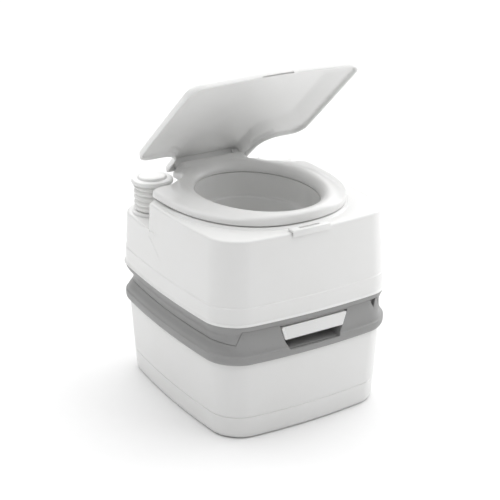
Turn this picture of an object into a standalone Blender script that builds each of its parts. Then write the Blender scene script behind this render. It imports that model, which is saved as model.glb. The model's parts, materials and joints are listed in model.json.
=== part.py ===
"""Portable cassette toilet: a flush tank with bowl, seat and lid on a removable waste tank.

Lengths are in millimetres in this script and become metres when a mesh is made.
+Z is up, the front is -Y, and the origin is the middle of the footprint on the floor.
"""
import math

import bmesh
import bpy
from mathutils import Matrix, Vector

MM = 0.001
GAP = 0.35

# Driving sizes of the housing
BODY_WIDTH = 383.0
BODY_DEPTH = 427.0
CORNER_RADIUS = 55.0
SIDE_BOW = 12.6
WALL = 3.0
TANK_RIM_Z = 149.0
COVER_TOP_Z = 196.0
PANEL_TOP_Z = 212.0
UNIT_BASE_Z = COVER_TOP_Z + 0.4
BAND_TOP_Z = 222.2
DECK_Z = 374.0
LEDGE_Z = 324.0

# Bowl and outlet
BOWL_Y = -16.0
OUTLET_Y = -12.0
OUTLET_RADIUS = 44.0
BOWL_HALF_X = 106.5
NOZZLE_Z = 357.0
BOWL_HALF_Y = 136.5

# Hinge shared by the seat and the lid
HINGE_Y = 160.0
HINGE_Z = 388.0
PIN_RADIUS = 2.5
BARREL_RADIUS = 5.0
LID_OPEN_DEG = 41.4

# Pump and filler stand on the ledge behind the seat
PUMP = (-133.0, 133.0)
FILLER = (133.0, 133.0)

# Valve in the waste tank cover
BLADE_Z = (187.2, 190.0)
BLADE_HALF_X = 56.0
BLADE_FRONT_Y = -66.0
BLADE_REAR_Y = 41.0
HANDLE_BACK_Y = -198.0
HANDLE_FRONT_Y = -208.3

# Pour spout in its pocket at the rear of the waste tank
SPOUT = (20.0, 160.0)
SPOUT_Z = 186.0
SPOUT_RADIUS = 13.0
SPOUT_TIP_X = 97.0
POCKET_X = (-2.0, 112.0)
POCKET_Y = 140.0
POCKET_FLOOR_Z = 168.0

VENT = (-75.0, 95.0)

# Rear latch
LATCH_X = (-94.0, -46.0)
LATCH_AXIS = (209.2, 213.0)

# Lid catch at the front of the deck
CATCH_X = -8.0

WHITE = ((0.86, 0.86, 0.85), 0.35, 0.0)
GREY = ((0.34, 0.34, 0.34), 0.45, 0.0)
BOWL_WHITE = ((0.80, 0.80, 0.79), 0.25, 0.0)
SOFT_WHITE = ((0.82, 0.82, 0.81), 0.5, 0.0)
RUBBER = ((0.03, 0.03, 0.03), 0.8, 0.0)
SOFT_GREY = ((0.62, 0.62, 0.62), 0.6, 0.0)
STEEL = ((0.62, 0.63, 0.65), 0.3, 1.0)


# ---------------------------------------------------------------- helpers

def clear_scene():
    for item in list(bpy.data.objects):
        bpy.data.objects.remove(item, do_unlink=True)


def finish(name, mesh, look=None):
    """Turn a bmesh in millimetres into a named object in metres."""
    bmesh.ops.recalc_face_normals(mesh, faces=mesh.faces)
    bmesh.ops.scale(mesh, vec=(MM, MM, MM), verts=mesh.verts)
    data = bpy.data.meshes.new(name)
    mesh.to_mesh(data)
    mesh.free()
    item = bpy.data.objects.new(name, data)
    bpy.context.scene.collection.objects.link(item)
    if look:
        paint(item, look)
    return item


def paint(item, look):
    """Give a piece its own material and smooth shading between sharp edges."""
    colour, roughness, metallic = look
    material = bpy.data.materials.new(item.name + "_material")
    material.use_nodes = True
    shader = material.node_tree.nodes["Principled BSDF"]
    shader.inputs["Base Color"].default_value = (*colour, 1.0)
    shader.inputs["Roughness"].default_value = roughness
    shader.inputs["Metallic"].default_value = metallic
    item.data.materials.clear()
    item.data.materials.append(material)
    item.data.shade_smooth()
    item.data.set_sharp_from_angle(angle=math.radians(35))


def skin(name, rings, look=None, loop=False):
    """Join rings of equal length into one closed solid; loop joins last ring to first."""
    mesh = bmesh.new()
    rows = [[mesh.verts.new(point) for point in ring] for ring in rings]
    pairs = list(zip(rows, rows[1:]))
    if loop:
        pairs.append((rows[-1], rows[0]))
    count = len(rows[0])
    for low, high in pairs:
        for i in range(count):
            j = (i + 1) % count
            mesh.faces.new((low[i], low[j], high[j], high[i]))
    if not loop:
        mesh.faces.new(list(reversed(rows[0])))
        mesh.faces.new(rows[-1])
    return finish(name, mesh, look)


def turned(name, profile, centre, look=None, loop=False, steps=24, axis="Z"):
    """Turn a profile of (radius, height) points about an axis through the centre."""
    rings = []
    for radius, height in profile:
        ring = []
        for i in range(steps):
            angle = 2 * math.pi * i / steps
            u = radius * math.cos(angle)
            v = radius * math.sin(angle)
            offset = (u, v, height) if axis == "Z" else (height, u, v)
            ring.append(tuple(c + d for c, d in zip(centre, offset)))
        rings.append(ring)
    return skin(name, rings, look, loop)


def block(name, low, high, look=None):
    """A rectangular block between two corners."""
    corners = [(low[0], low[1]), (high[0], low[1]), (high[0], high[1]), (low[0], high[1])]
    return prism(name, corners, "Z", low[2], high[2], look)


def prism(name, outline, axis, start, end, look=None):
    """Extrude a flat outline along an axis. X outlines hold (y, z) and Y outlines (x, z)."""
    place = {
        "X": lambda u, v, w: (w, u, v),
        "Y": lambda u, v, w: (u, w, v),
        "Z": lambda u, v, w: (u, v, w),
    }[axis]
    rings = [[place(u, v, w) for u, v in outline] for w in (start, end)]
    return skin(name, rings, look)


def rod(name, centre, radius, length, axis, look=None, steps=20):
    """A round bar that starts at the centre and runs along X, Y or Z."""
    if axis == "Y":
        outline = circle(centre[0], centre[2], radius, steps)
        return prism(name, outline, "Y", centre[1], centre[1] + length, look)
    if axis == "X":
        outline = circle(centre[1], centre[2], radius, steps)
        return prism(name, outline, "X", centre[0], centre[0] + length, look)
    outline = circle(centre[0], centre[1], radius, steps)
    return prism(name, outline, "Z", centre[2], centre[2] + length, look)


def circle(u, v, radius, steps=24, start=0.0, end=360.0):
    whole = abs(end - start - 360.0) < 1e-6
    last = steps if whole else steps + 1
    angles = [math.radians(start + (end - start) * i / steps) for i in range(last)]
    return [(u + radius * math.cos(a), v + radius * math.sin(a)) for a in angles]


def combine(body, tool, operation):
    """Apply a Boolean with a tool, and remove the tool."""
    modifier = body.modifiers.new("combine", 'BOOLEAN')
    modifier.operation = operation
    modifier.solver = 'EXACT'
    modifier.object = tool
    depsgraph = bpy.context.evaluated_depsgraph_get()
    data = bpy.data.meshes.new_from_object(body.evaluated_get(depsgraph))
    body.modifiers.clear()
    body.data = data
    bpy.data.objects.remove(tool, do_unlink=True)


def cut(body, tool):
    combine(body, tool, 'DIFFERENCE')


def join(body, tool):
    combine(body, tool, 'UNION')


def swept(name, path, outer, look=None, inner=None, steps=16):
    """A tube along a path; with an inner radius it is open at both ends."""
    points = [Vector(point) for point in path]
    frames = []
    side = None
    for i, point in enumerate(points):
        ahead = points[min(i + 1, len(points) - 1)]
        behind = points[max(i - 1, 0)]
        tangent = (ahead - behind).normalized()
        if side is None:
            side = tangent.orthogonal().normalized()
        side = (side - tangent * side.dot(tangent)).normalized()
        frames.append((point, side.copy(), tangent.cross(side)))

    def ring(frame, radius):
        centre, u, v = frame
        turns = [2 * math.pi * k / steps for k in range(steps)]
        return [tuple(centre + radius * (math.cos(t) * u + math.sin(t) * v)) for t in turns]

    rings = [ring(frame, outer) for frame in frames]
    if inner is None:
        return skin(name, rings, look)
    rings += [ring(frame, inner) for frame in reversed(frames)]
    return skin(name, rings, look, loop=True)


def smooth_path(points, steps=6):
    """Points on a Catmull-Rom curve through the route's own points."""
    padded = [points[0]] + list(points) + [points[-1]]
    route = []
    for i in range(len(points) - 1):
        a, b, c, d = (Vector(p) for p in padded[i:i + 4])
        for k in range(steps):
            t = k / steps
            bend = 2 * b + (c - a) * t + (2 * a - 5 * b + 4 * c - d) * t * t
            route.append(0.5 * (bend + (3 * b - a - 3 * c + d) * t ** 3))
    route.append(Vector(points[-1]))
    return route


# ---------------------------------------------------------------- outlines

def housing_outline(inset_x, inset_y, corner_steps=5, side_steps=3):
    """The housing's plan: a rectangle with round corners and sides that bow outwards."""
    half_x = BODY_WIDTH / 2 - inset_x
    half_y = BODY_DEPTH / 2 - inset_y
    radius = CORNER_RADIUS - 0.4 * max(inset_x, inset_y)
    quarter = [(half_x, (half_y - radius) * i / side_steps) for i in range(side_steps)]
    quarter += circle(half_x - radius, half_y - radius, radius, corner_steps, 0.0, 90.0)
    quarter += [((half_x - radius) * i / side_steps, half_y) for i in range(side_steps - 1, -1, -1)]
    points = list(quarter)
    points += [(-x, y) for x, y in reversed(quarter)][1:]
    points += [(-x, -y) for x, y in quarter][1:]
    points += [(x, -y) for x, y in reversed(quarter)][1:-1]
    bowed = []
    for x, y in points:
        flat_x = 1 - SIDE_BOW / half_x * (y / half_y) ** 2
        flat_y = 1 - SIDE_BOW / half_y * (x / half_x) ** 2
        bowed.append((x * flat_x, y * flat_y))
    return bowed


def at_height(outline, z):
    return [(x, y, z) for x, y in outline]


def ellipse_beside(outline, half_x, half_y, centre_y):
    """Points of an ellipse, each in the same direction as its point of the outline."""
    points = []
    for x, y in outline:
        angle = math.atan2((y - centre_y) / half_y, x / half_x)
        points.append((half_x * math.cos(angle), centre_y + half_y * math.sin(angle)))
    return points


def between(first, second, share):
    return [tuple(a + (b - a) * share for a, b in zip(p, q)) for p, q in zip(first, second)]


def rounded_polygon(corners, steps=6):
    """Close a polygon of (x, y, radius) corners with an arc at each corner."""
    points = []
    count = len(corners)
    for i, (x, y, radius) in enumerate(corners):
        here = Vector((x, y))
        to_last = (Vector(corners[i - 1][:2]) - here).normalized()
        to_next = (Vector(corners[(i + 1) % count][:2]) - here).normalized()
        if radius <= 0:
            points.append(tuple(here))
            continue
        half = to_last.angle(to_next) / 2
        centre = here + (to_last + to_next).normalized() * (radius / math.sin(half))
        first = here + to_last * (radius / math.tan(half)) - centre
        last = here + to_next * (radius / math.tan(half)) - centre
        turn = first.angle_signed(last)
        for k in range(steps + 1):
            angle = -turn * k / steps
            arm = Matrix.Rotation(angle, 2) @ first
            points.append(tuple(centre + arm))
    return points


def resampled(points, count):
    """Even points round a closed outline, starting at its first point."""
    loop = list(points) + [points[0]]
    lengths = [math.dist(a, b) for a, b in zip(loop, loop[1:])]
    total = sum(lengths)
    result = []
    for i in range(count):
        left = total * i / count
        k = 0
        while left > lengths[k]:
            left -= lengths[k]
            k += 1
        share = left / lengths[k]
        a, b = loop[k], loop[k + 1]
        result.append((a[0] + (b[0] - a[0]) * share, a[1] + (b[1] - a[1]) * share))
    return result


def shrunk(outline, inset):
    """Move each point of a counter-clockwise outline inwards along its normal."""
    count = len(outline)
    points = []
    for i, (x, y) in enumerate(outline):
        ahead = outline[(i + 1) % count]
        behind = outline[i - 1]
        tangent = Vector((ahead[0] - behind[0], ahead[1] - behind[1])).normalized()
        points.append((x - tangent.y * inset, y + tangent.x * inset))
    return points


def mirrored(half):
    """Complete an outline from its right half, listed from the front to the rear."""
    return list(half) + [(-corner[0], *corner[1:]) for corner in reversed(half)]


def smoothstep(low, high, value):
    share = min(max((value - low) / (high - low), 0.0), 1.0)
    return share * share * (3 - 2 * share)


# ---------------------------------------------------------------- waste tank

def waste_tank_shell():
    """White tub, wider at the rim than at the floor."""
    def section(z, extra):
        rise = z / TANK_RIM_Z
        return at_height(housing_outline(15.5 - 8.5 * rise + extra, 13.0 - 6.0 * rise + extra), z)

    outside = [section(z, extra) for z, extra in ((0, 7), (3, 1.6), (8, 0), (149, 0))]
    inside = [section(149, WALL), section(12, WALL), section(6, 6), section(3.2, 12)]
    return skin("waste_tank_shell", outside + inside, WHITE)


COVER_PROFILE = (
    (149.4, 4.0, 4.0), (152, 2.2, 2.2), (156, 1.0, 1.0), (166, 1.0, 1.0), (170, 2.4, 3.0),
    (174, 4.6, 4.6), (178, 8.0, 5.0), (182, 11.0, 5.0), (188, 13.0, 5.0), (196, 12.5, 5.0))


def cover_ring(z, side_inset, front_inset):
    """Waisted all round, except across the flat panel at the front."""
    side = housing_outline(side_inset, side_inset)
    front = housing_outline(front_inset, front_inset)
    ring = []
    for (sx, sy), (fx, fy) in zip(side, front):
        share = 1 - smoothstep(138, 166, abs(sx)) if sy < 0 else 0.0
        ring.append((sx + (fx - sx) * share, sy + (fy - sy) * share, z))
    return ring


def panel_half_width(z):
    """The front panel narrows upwards between slanted ends."""
    return 150 - (z - 194) * 20 / 18


def waste_tank_cover():
    """Grey top of the waste tank with the outlet, finger pocket and spout pocket."""
    plan = housing_outline(16, 16)
    hole = ellipse_beside(plan, OUTLET_RADIUS + 3, OUTLET_RADIUS + 3, OUTLET_Y)
    rings = [cover_ring(*row) for row in COVER_PROFILE]
    rings += [at_height(hole, COVER_TOP_Z), at_height(hole, COVER_TOP_Z - WALL)]
    rings.append(cover_ring(COVER_TOP_Z - WALL, 12.5 + WALL, 5.0 + WALL))
    for z, side, front in reversed(COVER_PROFILE[2:8]):
        rings.append(cover_ring(z, side + WALL, front + WALL))
    rings.append(cover_ring(153.5, 10.2, 10.2))
    rings.append(cover_ring(149.4, 10.2, 10.2))
    cover = skin("waste_tank_cover", rings, loop=True)

    low, high = panel_half_width(195), panel_half_width(PANEL_TOP_Z)
    console = prism("console", [(-low, 195), (low, 195), (high, PANEL_TOP_Z), (-high, PANEL_TOP_Z)],
                    "Y", -230, -172)
    combine(console, prism("trim", housing_outline(5, 5), "Z", 190, 215), 'INTERSECT')
    join(cover, console)
    join(cover, block("pocket_walls", (-78, -205.8, 157.5), (78, -171, 195)))
    join(cover, block("spout_walls", (POCKET_X[0] - 3, POCKET_Y - 3, 165), (POCKET_X[1] + 3, 190, 195)))
    finger = [(-51.5, 162), (51.5, 162), (61, 181), (70.5, 209.5), (-70.5, 209.5), (-61, 181)]
    cut(cover, prism("finger_pocket", finger, "Y", -230, -178))
    cut(cover, block("stem_slot", (-16, -180, 184.5), (16, -168, 192.6)))
    cut(cover, block("spout_pocket", (POCKET_X[0], POCKET_Y, POCKET_FLOOR_Z), (POCKET_X[1], 230, 198)))
    cut(cover, rod("spout_bore", (*SPOUT, 160), SPOUT_RADIUS + 1.2, 10, "Z"))
    cut(cover, rod("vent_bore", (*VENT, 190), 4.8, 10, "Z"))
    for x, y in screw_places():
        cut(cover, rod("screw_bore", (x, y, 190), 2.4, 5, "Z", steps=12))
    paint(cover, GREY)
    return cover


def screw_places():
    return [(x, y) for x in (-61.5, 61.5) for y in (-60.0, 40.0)]


def valve_housing():
    """Tray under the cover that guides the blade."""
    outline = rounded_polygon([(-67, -68, 4), (67, -68, 4), (67, 51, 12), (-67, 51, 12)])
    tray = prism("valve_housing", outline, "Z", 181, 192.6)
    channel = (-BLADE_HALF_X - 0.7, -80, BLADE_Z[0] - 0.5), (BLADE_HALF_X + 0.7, BLADE_REAR_Y + 0.8, 200)
    cut(tray, block("channel", *channel))
    cut(tray, rod("outlet", (0, OUTLET_Y, 170), OUTLET_RADIUS + 1, 30, "Z", steps=32))
    for x, y in screw_places():
        cut(tray, rod("screw_bore", (x, y, 170), 2.4, 40, "Z", steps=12))
    paint(tray, SOFT_GREY)
    return tray


def valve_screw(index, x, y):
    profile = [(1.0, 176.6), (4.0, 177.6), (4.0, 180.6), (2.0, 180.6), (2.0, 194.4)]
    return turned(f"valve_screw_{index}", profile, (x, y, 0), STEEL, steps=12)


def valve_lip_seal():
    inner, outer = OUTLET_RADIUS + 2, OUTLET_RADIUS + 7
    profile = [(inner, 190.4), (outer, 190.8), (outer, 192.7), (inner, 192.7)]
    return turned("valve_lip_seal", profile, (0, OUTLET_Y, 0), RUBBER, loop=True)


def valve_blade():
    """Sliding blade and the stem that carries the handle."""
    outline = rounded_polygon([
        (-13, HANDLE_BACK_Y + GAP, 0), (13, HANDLE_BACK_Y + GAP, 0), (13, BLADE_FRONT_Y, 3),
        (BLADE_HALF_X, BLADE_FRONT_Y, 8), (BLADE_HALF_X, BLADE_REAR_Y, 18),
        (-BLADE_HALF_X, BLADE_REAR_Y, 18), (-BLADE_HALF_X, BLADE_FRONT_Y, 8), (-13, BLADE_FRONT_Y, 3)])
    return prism("valve_blade", outline, "Z", *BLADE_Z, SOFT_GREY)


def valve_handle():
    """Slanted white bar that fills the top of the finger pocket."""
    outline = rounded_polygon([(-60, 181.5, 2), (60, 181.5, 2), (68, 206.4, 2), (-68, 206.4, 2)], 3)
    return prism("valve_handle", outline, "Y", HANDLE_FRONT_Y, HANDLE_BACK_Y, WHITE)


def vent_button():
    profile = [
        (6.5, 186.0), (6.5, 189.0), (4.0, 189.0), (4.0, 201.0), (9.0, 201.0), (9.0, 204.0), (7.5, 205.2)]
    return turned("vent_button", profile, (*VENT, 0), SOFT_GREY, steps=24)


def vent_seal():
    profile = [(4.4, 189.4), (8.5, 189.4), (8.5, 192.5), (4.4, 192.5)]
    return turned("vent_seal", profile, (*VENT, 0), RUBBER, loop=True, steps=24)


def vent_spring():
    profile = [(4.8, 196.4), (6.8, 196.4), (6.8, 200.6), (4.8, 200.6)]
    return turned("vent_spring", profile, (*VENT, 0), STEEL, loop=True, steps=20)


def pour_spout():
    """Elbow that stands in the tank and lies along the rear pocket."""
    bend = 16.0
    x, y = SPOUT
    path = [(x, y, 160.0)]
    for i in range(7):
        angle = math.radians(90 * i / 6)
        path.append((x + bend - bend * math.cos(angle), y, SPOUT_Z - bend + bend * math.sin(angle)))
    path.append((SPOUT_TIP_X, y, SPOUT_Z))
    return swept("pour_spout", path, SPOUT_RADIUS, SOFT_GREY, inner=SPOUT_RADIUS - 2.5)


def spout_collar():
    inner = SPOUT_RADIUS + 0.8
    profile = [(inner, 168.4), (19.0, 168.4), (18.0, 170.6), (inner, 170.6)]
    return turned("spout_collar", profile, (*SPOUT, 0), RUBBER, loop=True, steps=24)


def spout_cap():
    inner = SPOUT_RADIUS + 0.5
    profile = [(16.0, 84), (16.0, 102.5), (14.5, 104.2)]
    cap = turned("spout_cap", profile, (0, SPOUT[1], SPOUT_Z), axis="X", steps=24)
    cut(cap, rod("bore", (80, SPOUT[1], SPOUT_Z), inner, 21.4, "X", steps=24))
    paint(cap, SOFT_GREY)
    return cap


def spout_cap_seal():
    return rod("spout_cap_seal", (SPOUT_TIP_X + 0.4, SPOUT[1], SPOUT_Z), SPOUT_RADIUS, 3.4, "X", RUBBER, 24)


def latch_keeper():
    outline = [(200.2, 186.3), (202.9, 186.3), (205.6, 191.0), (205.6, 192.5), (200.2, 192.5)]
    return prism("latch_keeper", outline, "X", LATCH_X[0] + 9, LATCH_X[1] - 9, GREY)


# ---------------------------------------------------------------- flush unit

def base_ring():
    """Grey lower band of the flush unit, with the pan that closes the tank."""
    outer = (
        (UNIT_BASE_Z, 12.5), (200, 12.0), (205, 8.6), (210, 5.0), (215, 2.8), (219, 1.6), (BAND_TOP_Z, 1.6))
    rings = [at_height(housing_outline(inset, inset), z) for z, inset in outer]
    plan = housing_outline(6, 6)
    hole = ellipse_beside(plan, 61, 61, OUTLET_Y)
    rings.append(at_height(housing_outline(4.8, 4.8), BAND_TOP_Z))
    rings.append(at_height(housing_outline(5.6, 5.6), 217))
    rings.append(at_height(hole, 217))
    rings.append(at_height(hole, 214))
    for z, inset in ((214, 6.4), (210, 8.2), (205, 11.8), (200, 15.2), (UNIT_BASE_Z, 15.6)):
        rings.append(at_height(housing_outline(inset, inset), z))
    ring = skin("base_ring", rings, loop=True)

    low, high = panel_half_width(194) + 1.2, panel_half_width(PANEL_TOP_Z) + 1.2
    notch = [(-low, 194), (low, 194), (high, PANEL_TOP_Z + GAP), (-high, PANEL_TOP_Z + GAP)]
    cut(ring, prism("panel_notch", notch, "Y", -230, -160))
    cut(ring, block("spout_notch", (POCKET_X[0] - 3, POCKET_Y, 190), (POCKET_X[1] + 3, 230, 206)))
    left, right = LATCH_X
    join(ring, block("latch_walls", (left - 5, 188, 204), (right + 5, 212.5, 221.8)))
    cut(ring, block("latch_recess", (left - 1, 205.2, 190), (right + 1, 230, 219)))
    cut(ring, rod("pin_bore", (left - 8, *LATCH_AXIS), 1.9, right - left + 16, "X", steps=12))
    paint(ring, GREY)
    return ring


def rear_latch():
    """Lever whose sloped tooth grips the keeper on the waste tank."""
    outline = [(207, 215.3), (207, 192.2), (203.4, 186.0), (203.6, 183.5), (205, 181.5), (211.5, 181.5),
               (211.5, 215.3)]
    latch = prism("rear_latch", outline, "X", *LATCH_X)
    cut(latch, rod("pin_bore", (LATCH_X[0] - 5, *LATCH_AXIS), 1.9, 60, "X", steps=12))
    paint(latch, SOFT_GREY)
    return latch


def latch_pin():
    left, right = LATCH_X
    return rod("latch_pin", (left - 4.5, *LATCH_AXIS), 1.5, right - left + 9, "X", STEEL, 12)


def raised_plan(inset):
    """Plan of the raised deck: the front part and the island that carries the hinge."""
    half = [(230, -230, 0), (230, 38, 0), (205 - inset, 38, 0), (152 - inset, 80 - inset, 18),
            (78 - inset, 80 - inset, 34), (74 - inset, 150 - inset, 8)]
    return rounded_polygon(mirrored(half))


def upper_solid(inset, low, top):
    """Tapered body of the flush unit before its deck is stepped down."""
    rings = [at_height(housing_outline(inset, inset), low)]
    for z, taper in ((226, 0.0), (232, 0.8), (254, 2.0), (257, 2.6), (300, 5.2), (366, 9.2)):
        rings.append(at_height(housing_outline(taper + inset, taper + inset), z))
    for rise, taper in ((top - 4, 9.8), (top - 1, 11.5), (top, 14.0)):
        rings.append(at_height(housing_outline(taper + inset, taper + inset), rise))
    return skin("upper_solid", rings)


def ledge_space(floor, inset):
    """The space above the ledge behind the raised deck."""
    space = block("ledge_space", (-229, 20, floor), (229, 240, 400))
    cut(space, prism("raised", raised_plan(inset), "Z", floor - 5, 410))
    return space


def flush_tank_shell():
    """White upper housing with a deck that drops to a ledge at the rear corners."""
    shell = upper_solid(0, BAND_TOP_Z + GAP, DECK_Z)
    cut(shell, ledge_space(LEDGE_Z, 0))
    inside = upper_solid(WALL, BAND_TOP_Z - 2, DECK_Z - WALL)
    cut(inside, ledge_space(LEDGE_Z - WALL, WALL))
    cut(shell, inside)
    opening = circle(0, 0, 1, 32)
    opening = [((BOWL_HALF_X + 4.5) * x, BOWL_Y + (BOWL_HALF_Y + 4.5) * y) for x, y in opening]
    cut(shell, prism("bowl_opening", opening, "Z", 360, 380))
    cut(shell, rod("pump_bore", (*PUMP, 300), 26.6, 40, "Z"))
    cut(shell, rod("filler_bore", (*FILLER, 300), 29.6, 40, "Z"))
    paint(shell, WHITE)
    shell.name = "flush_tank_shell"
    return shell


BOWL_PROFILE = (
    (375.0, 1.0, 1.0), (371.0, 1.0, 1.0), (304.0, 0.965, 0.965), (296.0, 0.93, 0.94), (291.0, 0.87, 0.885),
    (255.0, 0.75, 0.74), (232.0, 0.60, 0.55), (217.0, 0.46, 0.39), (208.0, 0.42, 0.33), (200.4, 0.413, 0.322))


def bowl():
    """Oval bowl with a ledge ring that runs down to the round outlet."""
    plan = circle(0, BOWL_Y, 120, 32)

    def oval(z, share_x, share_y, extra):
        depth = (375.0 - z) / 175.0
        centre = BOWL_Y + (OUTLET_Y - BOWL_Y) * min(depth, 1.0)
        ring = ellipse_beside(plan, BOWL_HALF_X * share_x + extra, BOWL_HALF_Y * share_y + extra, centre)
        return at_height(ring, z)

    inside = [oval(z, sx, sy, 0) for z, sx, sy in BOWL_PROFILE]
    foot = [oval(200.4, 0.413, 0.322, 10), oval(203.4, 0.413, 0.322, 10), oval(203.4, 0.413, 0.322, WALL)]
    outside = [oval(z, sx, sy, WALL) for z, sx, sy in reversed(BOWL_PROFILE[1:-2])]
    rim = [oval(DECK_Z + GAP, 1.0, 1.0, WALL), oval(DECK_Z + GAP, 1.0, 1.0, 9), oval(375.6, 1.0, 1.0, 9),
           oval(376.4, 1.0, 1.0, 7), oval(376.4, 1.0, 1.0, 1)]
    basin = skin("bowl", inside + foot + outside + rim, loop=True)
    cut(basin, rod("nozzle_bore", (-130, BOWL_Y, NOZZLE_Z), 5.2, 40, "X", steps=16))
    paint(basin, BOWL_WHITE)
    return basin


def bowl_outlet_seal():
    profile = [(OUTLET_RADIUS + 3, 196.4), (54, 196.4), (54, 200.0), (OUTLET_RADIUS + 3, 200.0)]
    return turned("bowl_outlet_seal", profile, (0, OUTLET_Y, 0), RUBBER, loop=True)


def flush_nozzle():
    """Square socket on the bowl's left side, with a short spout through the wall."""
    nozzle = block("flush_nozzle", (-125.2, BOWL_Y - 12, NOZZLE_Z - 7), (-112.2, BOWL_Y + 12, NOZZLE_Z + 7))
    join(nozzle, rod("spout", (-114.2, BOWL_Y, NOZZLE_Z), 4.6, 12, "X", steps=16))
    paint(nozzle, SOFT_GREY)
    return nozzle


def flush_hose():
    route = [
        (-133, 106, 311), (-133, 95, 311), (-133, 82, 311), (-134, 68, 313), (-136, 54, 323),
        (-138, 38, 339), (-141, 20, 352), (-142, 4, 357), (-139, -11, 357), (-132, BOWL_Y, NOZZLE_Z),
        (-127.4, BOWL_Y, NOZZLE_Z)]
    return swept("flush_hose", smooth_path(route, 3), 4.5, SOFT_GREY, steps=8)


def pump_collar():
    """Cup in the ledge that carries the bellows."""
    profile = [(22.5, 330), (36, 330), (38, 328), (38, 324.4), (26.2, 324.4), (26.2, 302), (4.2, 302),
               (4.2, 305), (22.5, 305)]
    return turned("pump_collar", profile, (*PUMP, 0), WHITE, loop=True)


def pump_bellows():
    """Ribbed bellows between the collar and the pump cap."""
    outer = [(30, 330.4)]
    pitch = 10.2
    for i in range(5):
        z = 330.4 + i * pitch
        outer += [(34.8, z + 2.8), (34.8, z + 5.8), (30.8, z + 8.6)]
    outer.append((30.8, 381.6))
    inner = [(radius - 2.2, z) for radius, z in reversed(outer)]
    return turned("pump_bellows", outer + inner, (*PUMP, 0), SOFT_WHITE, loop=True, steps=20)


def pump_cap():
    profile = [(37.6, 382), (38.6, 384), (38.4, 387.6), (36.5, 389.6), (27, 390.4), (26, 391.2), (25.4, 394),
               (22, 395.6), (12, 396.4), (1, 396.6)]
    return turned("pump_cap", profile, (*PUMP, 0), WHITE, steps=28)


def pump_tube():
    profile = [(4.5, 224), (6.5, 224), (6.5, 301.6), (4.5, 301.6)]
    return turned("pump_tube", profile, (*PUMP, 0), SOFT_GREY, loop=True, steps=16)


def fill_neck():
    profile = [(26, 352), (29, 352), (29, 328), (37, 328), (38, 326), (38, 324.4), (29.2, 324.4), (29.2, 314),
               (26, 314)]
    return turned("fill_neck", profile, (*FILLER, 0), SOFT_WHITE, loop=True)


def fill_cap():
    profile = [(1, 386.4), (14, 386.2), (27, 385.2), (32, 383.2), (33, 380), (33, 330), (29.8, 330),
               (29.8, 355.8), (24, 355.8), (24, 380), (1, 380)]
    return turned("fill_cap", profile, (*FILLER, 0), WHITE, loop=True)


def fill_cap_seal():
    profile = [(24.6, 352.4), (29.3, 352.4), (29.3, 355.4), (24.6, 355.4)]
    return turned("fill_cap_seal", profile, (*FILLER, 0), RUBBER, loop=True)


def catch_pad():
    """Raised pad with a slot, and a lip that hangs over the front edge of the deck."""
    outline = [(-190, 374.4), (-190, 377), (-191.5, 378.6), (-205.3, 378.6), (-206.8, 377), (-206.8, 367),
               (-204.8, 367), (-204.8, 374.4)]
    pad = prism("catch_pad", outline, "X", CATCH_X - 38, CATCH_X + 38)
    cut(pad, block("slot", (CATCH_X - 20, -200.2, 375.4), (CATCH_X + 20, -194.4, 380)))
    paint(pad, WHITE)
    return pad


def lid_catch():
    return block("lid_catch", (CATCH_X - 19, -199.8, 375.8), (CATCH_X + 19, -197, 378.2), SOFT_GREY)


# ---------------------------------------------------------------- hinge, seat and lid

BRACKET_X = (30.0, 44.0)
SEAT_KNUCKLE_X = (44.6, 57.4)
LID_KNUCKLE_X = (58.0, 70.0)


def both_sides(span, side):
    return sorted((span[0] * side, span[1] * side))


def hinge_bracket(name, side):
    foot = [(130, DECK_Z + GAP), (149, DECK_Z + GAP), (158, 383.2)]
    barrel = circle(HINGE_Y, HINGE_Z, BARREL_RADIUS, 12, -90, 110)
    bracket = prism(name, foot + barrel + [(149, 391), (130, 379)], "X", *both_sides(BRACKET_X, side))
    cut(bracket, rod("bore", (-80, HINGE_Y, HINGE_Z), PIN_RADIUS + GAP, 160, "X", steps=16))
    paint(bracket, SOFT_WHITE)
    return bracket


def hinge_pin(name, side):
    low, high = both_sides((28.0, 71.0), side)
    return rod(name, (low, HINGE_Y, HINGE_Z), PIN_RADIUS, high - low, "X", STEEL, 16)


def seat_plan():
    """Rounded front, straight rear corners and a neck between the pump and the filler."""
    wide, front, middle, power = 167.0, 217.0, 40.0, 2.3
    half = []
    for i in range(24):
        angle = math.pi / 2 * i / 24
        x = wide * math.sin(angle) ** (2 / power)
        y = middle - front * math.cos(angle) ** (2 / power)
        half.append((x, y))
    rear = rounded_polygon([
        (0, -100, 0), (167, 0, 0), (167, 83, 22), (85, 83, 34), (83, 148, 4), (0, 148, 0)])
    half += [point for point in rear if point[1] > 50]
    half = half[:-1]
    return resampled(half[:1] + half[1:] + [(0, 148)] + [(-x, y) for x, y in reversed(half[1:])], 60)


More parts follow.
